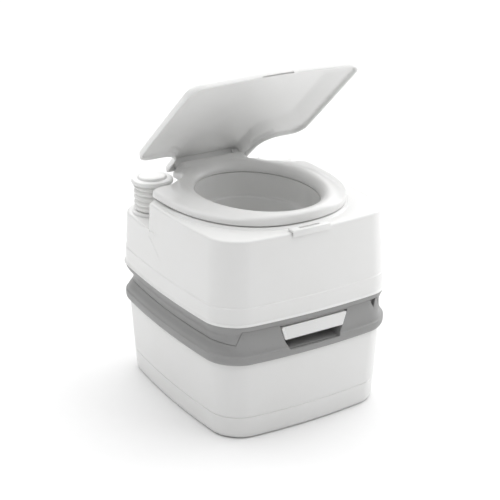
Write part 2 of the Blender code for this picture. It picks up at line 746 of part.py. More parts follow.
def seat_ring():
    """Oval ring with a crest round the hole, on a flatter plate that rises to the hinge."""
    edge = seat_plan()
    hole = ellipse_beside(edge, 105, 135, BOWL_Y)

    def surface(share):
        ring = []
        for (ex, ey), (hx, hy) in zip(edge, hole):
            width = math.dist((ex, ey), (hx, hy))
            x, y = ex + (hx - ex) * share, ey + (hy - ey) * share
            from_hole = (1 - share) * width
            from_edge = share * width
            hump = 10.5 * smoothstep(104, 147, y) * (1 - 0.8 * smoothstep(56, 82, abs(x)))
            plate = 389.5 + hump
            crest = 397 - 0.018 * (from_hole - 20) ** 2
            z = max(plate, crest)
            z -= 5.0 * max(0.0, 1 - from_edge / 7) ** 2
            z -= 7.0 * max(0.0, 1 - from_hole / 10) ** 2
            ring.append((x, y, z))
        return ring

    rings = [at_height(edge, 377.6)] + [surface(s) for s in (0, 0.04, 0.12, 0.3, 0.5, 0.65, 0.8, 0.92, 1.0)]
    rings.append(at_height(hole, 377.6))
    ring = skin("seat_ring", rings, loop=True)
    for side in (-1, 1):
        low, high = both_sides(SEAT_KNUCKLE_X, side)
        barrel = circle(HINGE_Y, HINGE_Z, BARREL_RADIUS, 12, -100, 100)
        arm = [(140, 379), (154, 380.5)] + barrel + [(148, 391.5), (140, 391.5)]
        join(ring, prism("knuckle", arm, "X", low, high))
        low, high = both_sides((BRACKET_X[0] - 1.5, SEAT_KNUCKLE_X[0] + 0.8), side)
        cut(ring, block("bracket_space", (low, 125, 370), (high, 152, 391.8)))
    cut(ring, rod("bore", (-80, HINGE_Y, HINGE_Z), PIN_RADIUS + GAP, 160, "X", steps=16))
    paint(ring, WHITE)
    return ring


def seat_buffer(index, x, y):
    profile = [(7, 374.4), (8, 375.2), (8, 377.2)]
    return turned(f"seat_buffer_{index}", profile, (x, y, 0), RUBBER, steps=16)


def lid_plan():
    """Nearly square front, with sides that sweep in round the pump and filler to the hinge."""
    half = [
        (0, -188, 0), (100, -185, 260), (171, -176, 32), (179, 88, 26), (90, 88, 36), (88.5, 168, 8),
        (0, 168, 0)]
    whole = half + [(-x, y, r) for x, y, r in reversed(half[1:-1])]
    return resampled(rounded_polygon(whole), 68)


def lid():
    """Shallow vaulted dish, closed over the seat, with knuckles under its neck."""
    rim_z = 386.0
    edge = lid_plan()
    centre = [(0, -40)] * len(edge)
    walls = ((0.0, 0.0), (0.6, 6.0), (2.0, 11.0), (6.0, 15.0), (12.0, 18.5))
    crown = ((0.16, 22.0), (0.34, 25.4), (0.6, 27.4), (0.85, 28.0))

    def rings(skin_thickness):
        inset_edge = shrunk(edge, skin_thickness)
        down = skin_thickness if skin_thickness else 0.0
        result = [at_height(inset_edge, rim_z)]
        for inset, rise in walls[1:]:
            result.append(at_height(shrunk(edge, inset + skin_thickness), rim_z + rise - down * 0.8))
        last = shrunk(edge, walls[-1][0] + skin_thickness)
        for share, rise in crown:
            result.append(at_height(between(last, centre, share), rim_z + rise - down))
        return result

    outside = rings(0.0)
    inside = rings(2.6)
    dish = skin("lid", list(reversed(outside)) + inside)
    for side in (-1, 1):
        low, high = both_sides((BRACKET_X[0] - 3, SEAT_KNUCKLE_X[1] + 0.3), side)
        cut(dish, block("bracket_space", (low, 160, 380), (high, 175, 397)))
        low, high = both_sides(LID_KNUCKLE_X, side)
        barrel = circle(HINGE_Y, HINGE_Z, BARREL_RADIUS, 12, -200, 20)
        web = barrel + [(165, 404), (155, 404)]
        join(dish, prism("knuckle", web, "X", low, high))
    cut(dish, rod("bore", (-80, HINGE_Y, HINGE_Z), PIN_RADIUS + GAP, 160, "X", steps=16))
    paint(dish, WHITE)
    return dish


# ---------------------------------------------------------------- assembly

def carrier(name, place, parent=None):
    """An empty on a joint's axis that carries a moving group."""
    item = bpy.data.objects.new(name, None)
    bpy.context.scene.collection.objects.link(item)
    world = Vector(place) * MM
    item.location = world - (parent["world"] if parent else Vector())
    item.parent = parent["item"] if parent else None
    return {"item": item, "world": world}


def hang(group, *pieces):
    """Move each piece's origin to the carrier and parent it there."""
    for piece in pieces:
        piece.data.transform(Matrix.Translation(-group["world"]))
        piece.parent = group["item"]


def build():
    clear_scene()

    waste = carrier("waste_tank_body", (0, 0, 0))
    screws = [valve_screw(i + 1, x, y) for i, (x, y) in enumerate(screw_places())]
    hang(waste, waste_tank_shell(), waste_tank_cover(), valve_housing(), valve_lip_seal(), *screws,
         vent_spring(), spout_collar(), latch_keeper())
    valve = carrier("valve_slide", (0, HANDLE_BACK_Y, BLADE_Z[0]), waste)
    hang(valve, valve_blade(), valve_handle())
    vent = carrier("vent_slide", (*VENT, 201), waste)
    hang(vent, vent_button(), vent_seal())
    spout = carrier("spout_swivel", (*SPOUT, SPOUT_Z), waste)
    hang(spout, pour_spout())
    cap = carrier("spout_cap_turn", (SPOUT_TIP_X, SPOUT[1], SPOUT_Z), spout)
    hang(cap, spout_cap(), spout_cap_seal())

    unit = carrier("flush_unit_lift", (0, 0, BAND_TOP_Z), waste)
    hang(unit, base_ring(), flush_tank_shell(), bowl(), bowl_outlet_seal(), flush_nozzle(), flush_hose(),
         pump_collar(), pump_bellows(), pump_tube(), fill_neck(), catch_pad(), latch_pin(),
         hinge_bracket("hinge_bracket_left", -1), hinge_bracket("hinge_bracket_right", 1),
         hinge_pin("hinge_pin_left", -1), hinge_pin("hinge_pin_right", 1))
    pump = carrier("pump_slide", (*PUMP, 382), unit)
    hang(pump, pump_cap())
    filler = carrier("fill_cap_lift", (*FILLER, 330), unit)
    hang(filler, fill_cap(), fill_cap_seal())
    catch = carrier("catch_slide", (CATCH_X, -199, 377), unit)
    hang(catch, lid_catch())
    latch = carrier("latch_turn", (0, *LATCH_AXIS), unit)
    hang(latch, rear_latch())

    seat = carrier("seat_hinge", (0, HINGE_Y, HINGE_Z), unit)
    places = [(x, y) for x in (-135, 135) for y in (-60, 50)]
    buffers = [seat_buffer(i + 1, x, y) for i, (x, y) in enumerate(places)]
    hang(seat, seat_ring(), *buffers)
    cover = carrier("lid_hinge", (0, HINGE_Y, HINGE_Z), seat)
    hang(cover, lid())
    cover["item"].rotation_euler = (math.radians(-LID_OPEN_DEG), 0, 0)


build()
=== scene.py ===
"""Looks of the portable toilet: fine shells, moulded-plastic materials, light and camera.

Lengths are in millimetres in this script and become metres when a mesh is made.
"""
import json
import math

import bmesh
import bpy
from mathutils import Matrix, Vector


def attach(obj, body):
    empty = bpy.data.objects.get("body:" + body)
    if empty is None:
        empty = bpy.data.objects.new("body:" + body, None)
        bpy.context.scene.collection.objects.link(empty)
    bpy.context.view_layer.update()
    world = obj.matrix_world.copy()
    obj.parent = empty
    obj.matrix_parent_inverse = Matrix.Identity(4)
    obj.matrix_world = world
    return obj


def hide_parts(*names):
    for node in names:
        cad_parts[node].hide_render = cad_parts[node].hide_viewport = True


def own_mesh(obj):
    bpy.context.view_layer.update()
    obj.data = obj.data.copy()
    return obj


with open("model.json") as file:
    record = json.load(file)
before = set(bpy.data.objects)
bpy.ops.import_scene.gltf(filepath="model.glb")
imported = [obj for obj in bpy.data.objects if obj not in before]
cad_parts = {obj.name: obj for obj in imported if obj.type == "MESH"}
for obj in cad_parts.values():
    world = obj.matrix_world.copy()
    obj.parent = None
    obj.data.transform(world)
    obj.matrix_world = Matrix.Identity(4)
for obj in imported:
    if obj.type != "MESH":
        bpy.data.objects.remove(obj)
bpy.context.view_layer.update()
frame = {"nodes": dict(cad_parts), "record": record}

MM = 0.001
MERGE_DISTANCE = 0.004

# Sizes and places, as in the CAD part
BODY_WIDTH = 383.0
BODY_DEPTH = 427.0
CORNER_RADIUS = 55.0
SIDE_BOW = 12.6
WALL = 3.0
DECK_Z = 374.0
LEDGE_Z = 324.0
PANEL_TOP_Z = 212.0
BOWL_Y = -16.0
OUTLET_Y = -12.0
BOWL_HALF_X = 106.5
BOWL_HALF_Y = 136.5
HINGE_Y = 160.0
HINGE_Z = 388.0
LID_OPEN_DEG = 41.4
PUMP = (-133.0, 133.0)
FILLER = (133.0, 133.0)
BELLOWS_Z = (330.4, 381.6)
CATCH_X = -8.0
SPOUT = (20.0, 160.0, 186.0)
# Spout's pocket: left, right, inner wall's y, floor's z
POCKET = (-2.0, 112.0, 140.0, 168.0)
LATCH_X = (-94.0, -46.0)
# Latch pin: y and z
LATCH_AXIS = (209.2, 213.0)
VENT = (-75.0, 95.0)
VENT_COIL_Z = (196.4, 200.6)
CREASE_Z = 43.0
BRACKET_X = (30.0, 44.0)
SEAT_KNUCKLE_X = (44.6, 57.4)
LID_KNUCKLE_X = (58.0, 70.0)
KNUCKLE_RADIUS = 5.0
PIN_BORE_RADIUS = 2.85


# ---------------------------------------------------------------- mesh helpers

def smoothstep(low, high, value):
    """0 below low, 1 above high and smooth between."""
    share = min(max((value - low) / (high - low), 0.0), 1.0)
    return share * share * (3 - 2 * share)


def circle(u, v, radius, steps, start=0.0, end=360.0):
    """Points on a circle, or on an arc with both of its ends."""
    closed = abs(end - start - 360.0) < 1e-6
    last = steps if closed else steps + 1
    angles = [math.radians(start + (end - start) * i / steps) for i in range(last)]
    return [(u + radius * math.cos(a), v + radius * math.sin(a)) for a in angles]


def at_height(outline, z):
    """Points (x, y, z) over the points of a plan."""
    return [(p[0], p[1], z) for p in outline]


def lerp(a, b, share):
    """Point that lies a share of the way from a to b."""
    return tuple(p + (q - p) * share for p, q in zip(a, b))


def skinned(rings, loop=False, capped=True):
    """A bmesh through rings of equal length."""
    mesh = bmesh.new()
    rows = [[mesh.verts.new(point) for point in ring] for ring in rings]
    pairs = list(zip(rows, rows[1:]))
    if loop:
        pairs.append((rows[-1], rows[0]))
    count = len(rows[0])
    for low, high in pairs:
        for i in range(count):
            j = (i + 1) % count
            mesh.faces.new((low[i], low[j], high[j], high[i]))
    if capped and not loop:
        mesh.faces.new(list(reversed(rows[0])))
        mesh.faces.new(rows[-1])
    return mesh


def solid(name, mesh):
    """Turn a bmesh in millimetres into an object in metres."""
    bmesh.ops.remove_doubles(mesh, verts=mesh.verts, dist=MERGE_DISTANCE)
    bmesh.ops.dissolve_degenerate(mesh, edges=mesh.edges, dist=MERGE_DISTANCE)
    bmesh.ops.recalc_face_normals(mesh, faces=mesh.faces)
    bmesh.ops.scale(mesh, vec=(MM, MM, MM), verts=mesh.verts)
    data = bpy.data.meshes.new(name)
    mesh.to_mesh(data)
    mesh.free()
    item = bpy.data.objects.new(name, data)
    bpy.context.scene.collection.objects.link(item)
    return item


def turned(name, profile, centre, loop=False, steps=72, axis="Z", flutes=None):
    """Turn a profile of (radius, height) about an axis; flutes is (count, depth, low, high, least radius)."""
    count, depth, low, high, least = flutes or (0, 0.0, 0.0, 0.0, 0.0)
    rings = []
    for radius, height in profile:
        fluted = low < height < high and radius > least
        ring = []
        for i in range(steps):
            angle = 2 * math.pi * i / steps
            r = radius
            if fluted:
                r -= depth * (0.5 - 0.5 * math.cos(count * angle)) ** 3
            u, v = r * math.cos(angle), r * math.sin(angle)
            offset = (u, v, height) if axis == "Z" else (height, u, v)
            ring.append(tuple(c + d for c, d in zip(centre, offset)))
        rings.append(ring)
    return solid(name, skinned(rings, loop))


def prism(name, outline, axis, start, end):
    """Push an outline along an axis."""
    order = {"X": (2, 0, 1), "Y": (0, 2, 1), "Z": (0, 1, 2)}[axis]
    rings = [[tuple((u, v, w)[i] for i in order) for u, v in outline] for w in (start, end)]
    return solid(name, skinned(rings))


def block(name, low, high):
    """Box between two corners, used to cut and to join."""
    corners = [(low[0], low[1]), (high[0], low[1]), (high[0], high[1]), (low[0], high[1])]
    return prism(name, corners, "Z", low[2], high[2])


def applied(item):
    """Replace the mesh by the result of its modifiers."""
    depsgraph = bpy.context.evaluated_depsgraph_get()
    data = bpy.data.meshes.new_from_object(item.evaluated_get(depsgraph))
    item.modifiers.clear()
    item.data = data


def combine(body, tool, operation):
    """Boolean of two solids; the tool is used up."""
    modifier = body.modifiers.new("combine", 'BOOLEAN')
    modifier.operation = operation
    modifier.solver = 'EXACT'
    modifier.object = tool
    applied(body)
    bpy.data.objects.remove(tool, do_unlink=True)


def cut(body, tool):
    """Take the tool away from the body."""
    combine(body, tool, 'DIFFERENCE')


def join(body, tool):
    """Add the tool to the body."""
    combine(body, tool, 'UNION')


def soften(item, width, segments, angle):
    """Round the hard edges."""
    modifier = item.modifiers.new("soften", 'BEVEL')
    modifier.width = width * MM
    modifier.segments = segments
    modifier.limit_method = 'ANGLE'
    modifier.angle_limit = math.radians(angle)
    modifier.miter_outer = 'MITER_ARC'
    modifier.use_clamp_overlap = True
    applied(item)


def thicken(item, thickness):
    """Give a skin a wall on its inner side."""
    modifier = item.modifiers.new("thicken", 'SOLIDIFY')
    modifier.thickness = thickness * MM
    modifier.offset = -1
    modifier.use_even_offset = False
    applied(item)


def grow(item, distance):
    """Move every face outwards."""
    modifier = item.modifiers.new("grow", 'DISPLACE')
    modifier.strength = distance * MM
    modifier.mid_level = 0.0
    applied(item)


def place(item, material, body, slot, *nodes, crease=32):
    """Shade, paint and hang a piece on its body, in place of its CAD nodes."""
    item.data.materials.clear()
    item.data.materials.append(material)
    item.data.shade_smooth()
    item.data.set_sharp_from_angle(angle=math.radians(crease))
    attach(item, body)
    if nodes:
        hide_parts(*nodes)
    return item


def swept(name, path, outer, inner=None, steps=40):
    """Round rod along a path, or a tube where inner is given."""
    points = [Vector(point) for point in path]
    frames = []
    side = None
    for i, point in enumerate(points):
        tangent = (points[min(i + 1, len(points) - 1)] - points[max(i - 1, 0)]).normalized()
        side = side or tangent.orthogonal().normalized()
        side = (side - tangent * side.dot(tangent)).normalized()
        frames.append((point, side.copy(), tangent.cross(side)))

    def ring(at, radius):
        """Circle across the path at one of its points."""
        turns = [2 * math.pi * k / steps for k in range(steps)]
        return [tuple(at[0] + radius * (math.cos(t) * at[1] + math.sin(t) * at[2])) for t in turns]

    rings = [ring(at, outer) for at in frames]
    if inner is None:
        return solid(name, skinned(rings))
    rings += [ring(at, inner) for at in reversed(frames)]
    return solid(name, skinned(rings, loop=True))


def catmull_rom(a, b, c, d, share):
    """Number on the smooth curve from b to c, which a and d steer."""
    bend = 2 * b + (c - a) * share + (2 * a - 5 * b + 4 * c - d) * share ** 2
    return 0.5 * (bend + (3 * b - a - 3 * c + d) * share ** 3)


def interpolated(rows, steps):
    """Refine rows of equal length with a smooth curve through each column."""
    padded = [rows[0]] + list(rows) + [rows[-1]]
    result = []
    for i in range(len(rows) - 1):
        for k in range(steps):
            result.append(tuple(catmull_rom(*column, k / steps) for column in zip(*padded[i:i + 4])))
    result.append(tuple(rows[-1]))
    return result


# ---------------------------------------------------------------- outlines

def housing_half(inset_x, inset_y, corner_steps=20, side_steps=14):
    """Right half of the housing's plan, from the front centre to the rear centre."""
    half_x = BODY_WIDTH / 2 - inset_x
    half_y = BODY_DEPTH / 2 - inset_y
    radius = CORNER_RADIUS - 0.4 * max(inset_x, inset_y)
    quarter = [(half_x, (half_y - radius) * i / side_steps) for i in range(side_steps)]
    quarter += circle(half_x - radius, half_y - radius, radius, corner_steps, 0.0, 90.0)
    quarter += [((half_x - radius) * i / side_steps, half_y) for i in range(side_steps - 1, -1, -1)]
    half = [(x, -y) for x, y in reversed(quarter)] + quarter[1:]
    bowed = []
    for x, y in half:
        flat_x = 1 - SIDE_BOW / half_x * (y / half_y) ** 2
        flat_y = 1 - SIDE_BOW / half_y * (x / half_x) ** 2
        bowed.append((x * flat_x, y * flat_y))
    return bowed


def whole(half):
    """Close an outline given by its right half."""
    return list(half) + [(-p[0], *p[1:]) for p in reversed(half[1:-1])]


def housing_outline(inset_x, inset_y=None):
    """The housing's whole plan, moved inwards by one inset or by two."""
    return whole(housing_half(inset_x, inset_x if inset_y is None else inset_y))


def spaced(points, count):
    """count + 1 even points along an open line."""
    lengths = [math.dist(a, b) for a, b in zip(points, points[1:])]
    total = sum(lengths)
    result = [tuple(points[0])]
    k = 0
    passed = 0.0
    for i in range(1, count):
        want = total * i / count
        while passed + lengths[k] < want:
            passed += lengths[k]
            k += 1
        result.append(lerp(points[k], points[k + 1], (want - passed) / lengths[k]))
    result.append(tuple(points[-1]))
    return result


def split_at(points, y):
    """Cut a line that runs towards +Y where it first passes y."""
    for i in range(len(points) - 1):
        a, b = points[i], points[i + 1]
        if a[1] < y <= b[1]:
            middle = lerp(a, b, (y - a[1]) / (b[1] - a[1]))
            return list(points[:i + 1]) + [middle], [middle] + list(points[i + 1:])
    raise ValueError("the line does not pass that y")


def rounded_line(corners, steps):
    """An open line through (x, y, radius) corners with an arc at each."""
    points = [tuple(corners[0][:2])]
    for before, (x, y, radius), after in zip(corners, corners[1:], corners[2:]):
        here = Vector((x, y))
        to_last = (Vector(before[:2]) - here).normalized()
        to_next = (Vector(after[:2]) - here).normalized()
        half = to_last.angle(to_next) / 2
        if radius <= 0:
            points.append((x, y))
            continue
        centre = here + (to_last + to_next).normalized() * (radius / math.sin(half))
        first = here + to_last * (radius / math.tan(half)) - centre
        last = here + to_next * (radius / math.tan(half)) - centre
        turn = first.angle_signed(last)
        for k in range(steps + 1):
            points.append(tuple(centre + Matrix.Rotation(-turn * k / steps, 2) @ first))
    points.append(tuple(corners[-1][:2]))
    return points


def ellipse_beside(outline, half_x, half_y, centre_y):
    """Oval with one point for each point of an outline round it."""
    points = []
    for x, y in outline:
        angle = math.atan2((y - centre_y) / half_y, x / half_x)
        points.append((half_x * math.cos(angle), centre_y + half_y * math.sin(angle)))
    return points


def offset_half(half, inset):
    """Move a right half outline inwards along its normals."""
    count = len(half)
    points = []
    for i, (x, y) in enumerate(half):
        behind = half[i - 1] if i else (-half[1][0], half[1][1])
        ahead = half[i + 1] if i < count - 1 else (-half[-2][0], half[-2][1])
        tangent = Vector((ahead[0] - behind[0], ahead[1] - behind[1])).normalized()
        points.append((x - tangent.y * inset, y + tangent.x * inset))
    points[0] = (0.0, points[0][1])
    points[-1] = (0.0, points[-1][1])
    return points


def mirrored(span, side):
    """A span along X on the right (1) or the left (-1)."""
    return sorted((span[0] * side, span[1] * side))


# ---------------------------------------------------------------- materials

def preset(node, values):
    """Set a node's sockets by name."""
    for name, value in values.items():
        node.inputs[name].default_value = value


def new_material(name):
    """A material with its nodes and links."""
    material = bpy.data.materials.new(name)
    material.use_nodes = True
    return material, material.node_tree.nodes, material.node_tree.links


def noise_fac(material, scale, detail, rough=0.5, stretch=None):
    """Noise over the object's own coordinates, stretched where stretch is given."""
    nodes, links = material.node_tree.nodes, material.node_tree.links
    place_on = nodes.new("ShaderNodeTexCoord").outputs["Object"]
    if stretch:
        mapping = nodes.new("ShaderNodeMapping")
        preset(mapping, {"Scale": stretch})
        links.new(place_on, mapping.inputs["Vector"])
        place_on = mapping.outputs["Vector"]
    noise = nodes.new("ShaderNodeTexNoise")
    preset(noise, {"Scale": scale, "Detail": detail, "Roughness": rough})
    links.new(place_on, noise.inputs["Vector"])
    return noise.outputs["Fac"]


def two_tones(material, fac, low, high, start=0.0, end=1.0):
    """Colour between two tones, low up to start and high from end."""
    ramp = material.node_tree.nodes.new("ShaderNodeValToRGB")
    for element, position, tone in zip(ramp.color_ramp.elements, (start, end), (low, high)):
        element.position = position
        element.color = (*tone, 1)
    material.node_tree.links.new(fac, ramp.inputs["Fac"])
    return ramp.outputs["Color"]


def mapped(material, fac, low, high, start=0.0, end=1.0):
    """Turn start..end into low..high."""
    node = material.node_tree.nodes.new("ShaderNodeMapRange")
    preset(node, {"From Min": start, "From Max": end, "To Min": low, "To Max": high})
    material.node_tree.links.new(fac, node.inputs["Value"])
    return node.outputs["Result"]


def bumped(material, fac, strength, distance, under=None):
    """Normal of a rough surface; distance is in millimetres."""
    node = material.node_tree.nodes.new("ShaderNodeBump")
    preset(node, {"Strength": strength, "Distance": distance * MM})
    material.node_tree.links.new(fac, node.inputs["Height"])
    if under:
        material.node_tree.links.new(under, node.inputs["Normal"])
    return node.outputs["Normal"]


def plastic(name, colour, rough, grain, depth, mottle, coat=0.0, dust=0.0):
    """Moulded plastic: fine grain of a depth in millimetres, faint colour and gloss variation, specks."""
    material, nodes, links = new_material(name)
    shader = nodes["Principled BSDF"]
    preset(shader, {"IOR": 1.49, "Coat Weight": coat, "Coat Roughness": 0.12})

    cloud = noise_fac(material, 9.0, 4.0, 0.6)
    red, green, blue = (c * (1 - mottle) for c in colour)
    tone = two_tones(material, cloud, (red, green, blue * (1 - 0.3 * mottle)), colour, 0.3, 0.7)
    if dust:
        specks = noise_fac(material, 240.0, 2.0, 0.7)
        mix = nodes.new("ShaderNodeMix")
        mix.data_type = 'RGBA'
        mix.inputs["B"].default_value = (*[c * 0.6 for c in colour], 1)
        links.new(mapped(material, specks, 0.0, dust, 0.62, 0.78), mix.inputs["Factor"])
        links.new(tone, mix.inputs["A"])
        tone = mix.outputs["Result"]
    links.new(tone, shader.inputs["Base Color"])

    scuffs = noise_fac(material, 38.0, 5.0, 0.65)
    links.new(mapped(material, scuffs, rough - 0.06, rough + 0.06), shader.inputs["Roughness"])
    waves = bumped(material, noise_fac(material, 16.0, 2.0), 0.5, 0.05)
    surface = bumped(material, noise_fac(material, grain, 3.0, 0.55), 1.0, depth, waves)
    links.new(surface, shader.inputs["Normal"])
    return material


def metal(name, colour, rough):
    """Drawn steel with fine lines along its length."""
    material, nodes, links = new_material(name)
    shader = nodes["Principled BSDF"]
    preset(shader, {"Metallic": 1.0})
    lines = noise_fac(material, 3.0, 2.0, 0.5, (60, 900, 900))
    links.new(two_tones(material, lines, [c * 0.8 for c in colour], colour), shader.inputs["Base Color"])
    links.new(mapped(material, lines, rough - 0.08, rough + 0.1), shader.inputs["Roughness"])
    return material


WHITE = (0.80, 0.80, 0.795)
white = plastic("white_shell_look", WHITE, 0.34, 900.0, 0.012, 0.02, coat=0.10)
seat_white = plastic("seat_white_look", WHITE, 0.30, 900.0, 0.012, 0.02, coat=0.12)
bowl_white = plastic("bowl_white_look", WHITE, 0.20, 500.0, 0.004, 0.02, coat=0.3)
lid_white = plastic("lid_white_look", WHITE, 0.33, 900.0, 0.010, 0.02, coat=0.08)
soft_white = plastic("soft_white_look", (0.78, 0.78, 0.77), 0.48, 800.0, 0.014, 0.03)
grey = plastic("grey_band_look", (0.30, 0.30, 0.30), 0.46, 1100.0, 0.035, 0.05, dust=0.25)
inner_grey = plastic("inner_grey_look", (0.52, 0.52, 0.52), 0.5, 900.0, 0.02, 0.05, dust=0.2)
rubber = plastic("rubber_look", (0.030, 0.030, 0.031), 0.72, 1300.0, 0.04, 0.2, dust=0.3)
steel = metal("steel_look", (0.60, 0.61, 0.63), 0.3)

LOOKS = {"white_shell": white, "grey_band": grey, "bowl_white": bowl_white, "white_bellows": soft_white,
         "inner_grey": inner_grey, "rubber": rubber, "steel": steel}
for subpart in frame["record"]["subparts"]:
    node = frame["nodes"][subpart["node"]]
    node.data.materials.clear()
    node.data.materials.append(LOOKS[subpart["material_slot"]])


# ---------------------------------------------------------------- waste tank

TUB_TOP_Z = 149.0
CREASE_ROWS = ((-1.1, 0.0), (-0.7, 0.45), (0, 1.1), (0.7, 0.45), (1.2, 0.0))
FOOT_ROWS = ((0, 7), (0.5, 5.0), (1.5, 3.1), (3, 1.6), (5, 0.6), (8, 0))


def waste_tank_shell():
    """White tub that narrows to its rounded foot, with a fine crease round it."""
    def section(z, extra):
        """The tub's plan at a height, moved inwards."""
        rise = z / TUB_TOP_Z
        return at_height(housing_outline(15.5 - 8.5 * rise + extra, 13.0 - 6.0 * rise + extra), z)

    outside = [section(z, extra) for z, extra in FOOT_ROWS]
    outside += [section(z, 0) for z in (14, 22, 32, 41)]
    outside += [section(CREASE_Z + rise, depth) for rise, depth in CREASE_ROWS]
    outside += [section(46 + (146.5 - 46) * i / 12, 0) for i in range(13)]
    outside += [section(148.2, 0.3), section(TUB_TOP_Z, 1.1)]
    inside = [section(TUB_TOP_Z, WALL), section(80, WALL), section(12, WALL), section(6, 6), section(3.2, 12)]
    return solid("waste_tank_outer", skinned(outside + inside))


# Rows of a grey shell: (height, inset round the sides and back, inset across the front panel)
COVER_ROWS = (
    (149.4, 4, 4), (150.4, 3, 3), (152, 2, 2), (154.5, 1.2, 1.2), (158, 0.9, 0.9), (162, 0.9, 0.9),
    (165.5, 1.1, 1.1))
COVER_UPPER = (
    (166.4, 2.1, 2.1), (167.6, 3.4, 3.3), (171, 4.4, 4.2), (174, 5.6, 4.8), (178, 8.0, 5.0), (182, 10.2, 5.0),
    (185.4, 11.6, 5.0), (186.2, 12.2, 5.6))
COVER_TOP = ((186.3, 15.4, 8.8), (195.6, 16.4, 8.8), (196.0, 16.8, 9.2))
COVER_INSIDE = ((186, 18.4, 9), (182, 13.4, 6), (178, 8, 5), (174, 5.4, 4.8), (168, 3.4, 3.4), (158, 1, 1))
SEAM_Z = 186.8
PANEL_FOOT_Z = 185.0
PANEL_HALF_WIDTH = 149.5
PANEL_SLOPE = 0.37
VALVE_SCREWS = tuple((x, y) for x in (-61.5, 61.5) for y in (-60.0, 40.0))


def panel_share(x, y):
    """1 across the front panel and 0 round the sides and the back."""
    return 1 - smoothstep(140, 172, abs(x)) if y < 0 else 0.0


def cover_ring(z, side_inset, front_inset):
    """The housing's plan with its own inset across the front panel."""
    side = housing_outline(side_inset)
    front = housing_outline(front_inset)
    return [(*lerp(s, f, panel_share(*s)), z) for s, f in zip(side, front)]


def panel_outline(extra):
    """Front panel seen from the front: its ends slant inwards as they rise."""
    low, high = (PANEL_HALF_WIDTH - (z - SEAM_Z) * PANEL_SLOPE + extra for z in (PANEL_FOOT_Z, PANEL_TOP_Z))
    top = PANEL_TOP_Z + extra
    return [(-low, PANEL_FOOT_Z), (low, PANEL_FOOT_Z), (high, top), (-high, top)]


def waste_tank_cover():
    """Grey band and front panel over the tub, with its pockets and bores."""
    hole = ellipse_beside(housing_outline(16), 47, 47, OUTLET_Y)
    rows = interpolated(COVER_ROWS, 2) + interpolated(COVER_UPPER, 2) + list(COVER_TOP)
    rings = [cover_ring(*row) for row in rows]
    rings += [at_height(hole, 196), at_height(hole, 193), cover_ring(193, 19.4, 12)]
    rings += [cover_ring(z, side + WALL, front + WALL) for z, side, front in COVER_INSIDE]
    rings += [cover_ring(153.5, 10.2, 10.2), cover_ring(149.4, 10.2, 10.2)]
    cover = solid("waste_tank_band", skinned(rings, loop=True))

    console = prism("console", panel_outline(0.0), "Y", -230, -172)
    combine(console, prism("trim", housing_outline(5), "Z", 180, 215), 'INTERSECT')
    left, right, near, floor_z = POCKET
    finger = [(-51.5, 162), (51.5, 162), (61, 181), (70.5, 209.5), (-70.5, 209.5), (-61, 181)]
    join(cover, console)
    join(cover, block("pocket_walls", (-78, -205.8, 157.5), (78, -171, 195)))
    join(cover, block("spout_walls", (left - 3, near - 3, 165), (right + 3, 190, 195)))
    cut(cover, prism("finger_pocket", finger, "Y", -230, -178))
    cut(cover, prism("end_gap", [(121, 214), (137.2, 214), (131.7, 194.5)], "Y", -230, -193))
    cut(cover, block("stem_slot", (-16, -180, 184.5), (16, -168, 192.6)))
    cut(cover, block("spout_pocket", (left, near, floor_z), (right, 230, 198)))
    cut(cover, prism("spout_bore", circle(SPOUT[0], SPOUT[1], 14.2, 40), "Z", 160, 170))
    cut(cover, prism("vent_bore", circle(*VENT, 4.8, 32), "Z", 190, 200))
    for x, y in VALVE_SCREWS:
        cut(cover, prism("screw_bore", circle(x, y, 2.4, 16), "Z", 190, 200))
    soften(cover, 0.8, 2, 48)
    return cover


def valve_handle():
    """Slanted white bar with a thin groove beside its left end."""
    outline = rounded_line([(0, 181.5, 0), (60, 181.5, 2.4), (68, 206.4, 2.4), (-68, 206.4, 2.4),
                            (-60, 181.5, 2.4), (-0.01, 181.5, 0)], 5)
    bar = prism("valve_pull", outline, "Y", -208.3, -198)
    cut(bar, prism("groove", [(-62.4, 208), (-61.4, 208), (-53.6, 180), (-54.6, 180)], "Y", -209.0, -207.7))
    soften(bar, 0.9, 3, 40)
    return bar


# ---------------------------------------------------------------- flush unit

RING_ROWS = (
    (187, 12.6, 5.6), (187.5, 12.3, 5.1), (190, 13, 5), (193.5, 13.3, 5), (197, 13, 5), (200, 12, 5),
    (202.5, 10.6, 5), (205, 8.8, 5), (208, 6.6, 4.9), (211, 5, 4.5), (214, 3.6, 3.5), (217, 2.5, 2.5),
    (220, 1.8, 1.8), (222.2, 1.6, 1.6))
RING_INSIDE = (
    (214, 6.8, 6.6), (210, 9.2, 7.6), (205, 12.4, 8.2), (200, 15.2, 8.2), (196.5, 15.9, 8.2),
    (187, 15.2, 8.2))
PANEL_GAP = 0.8


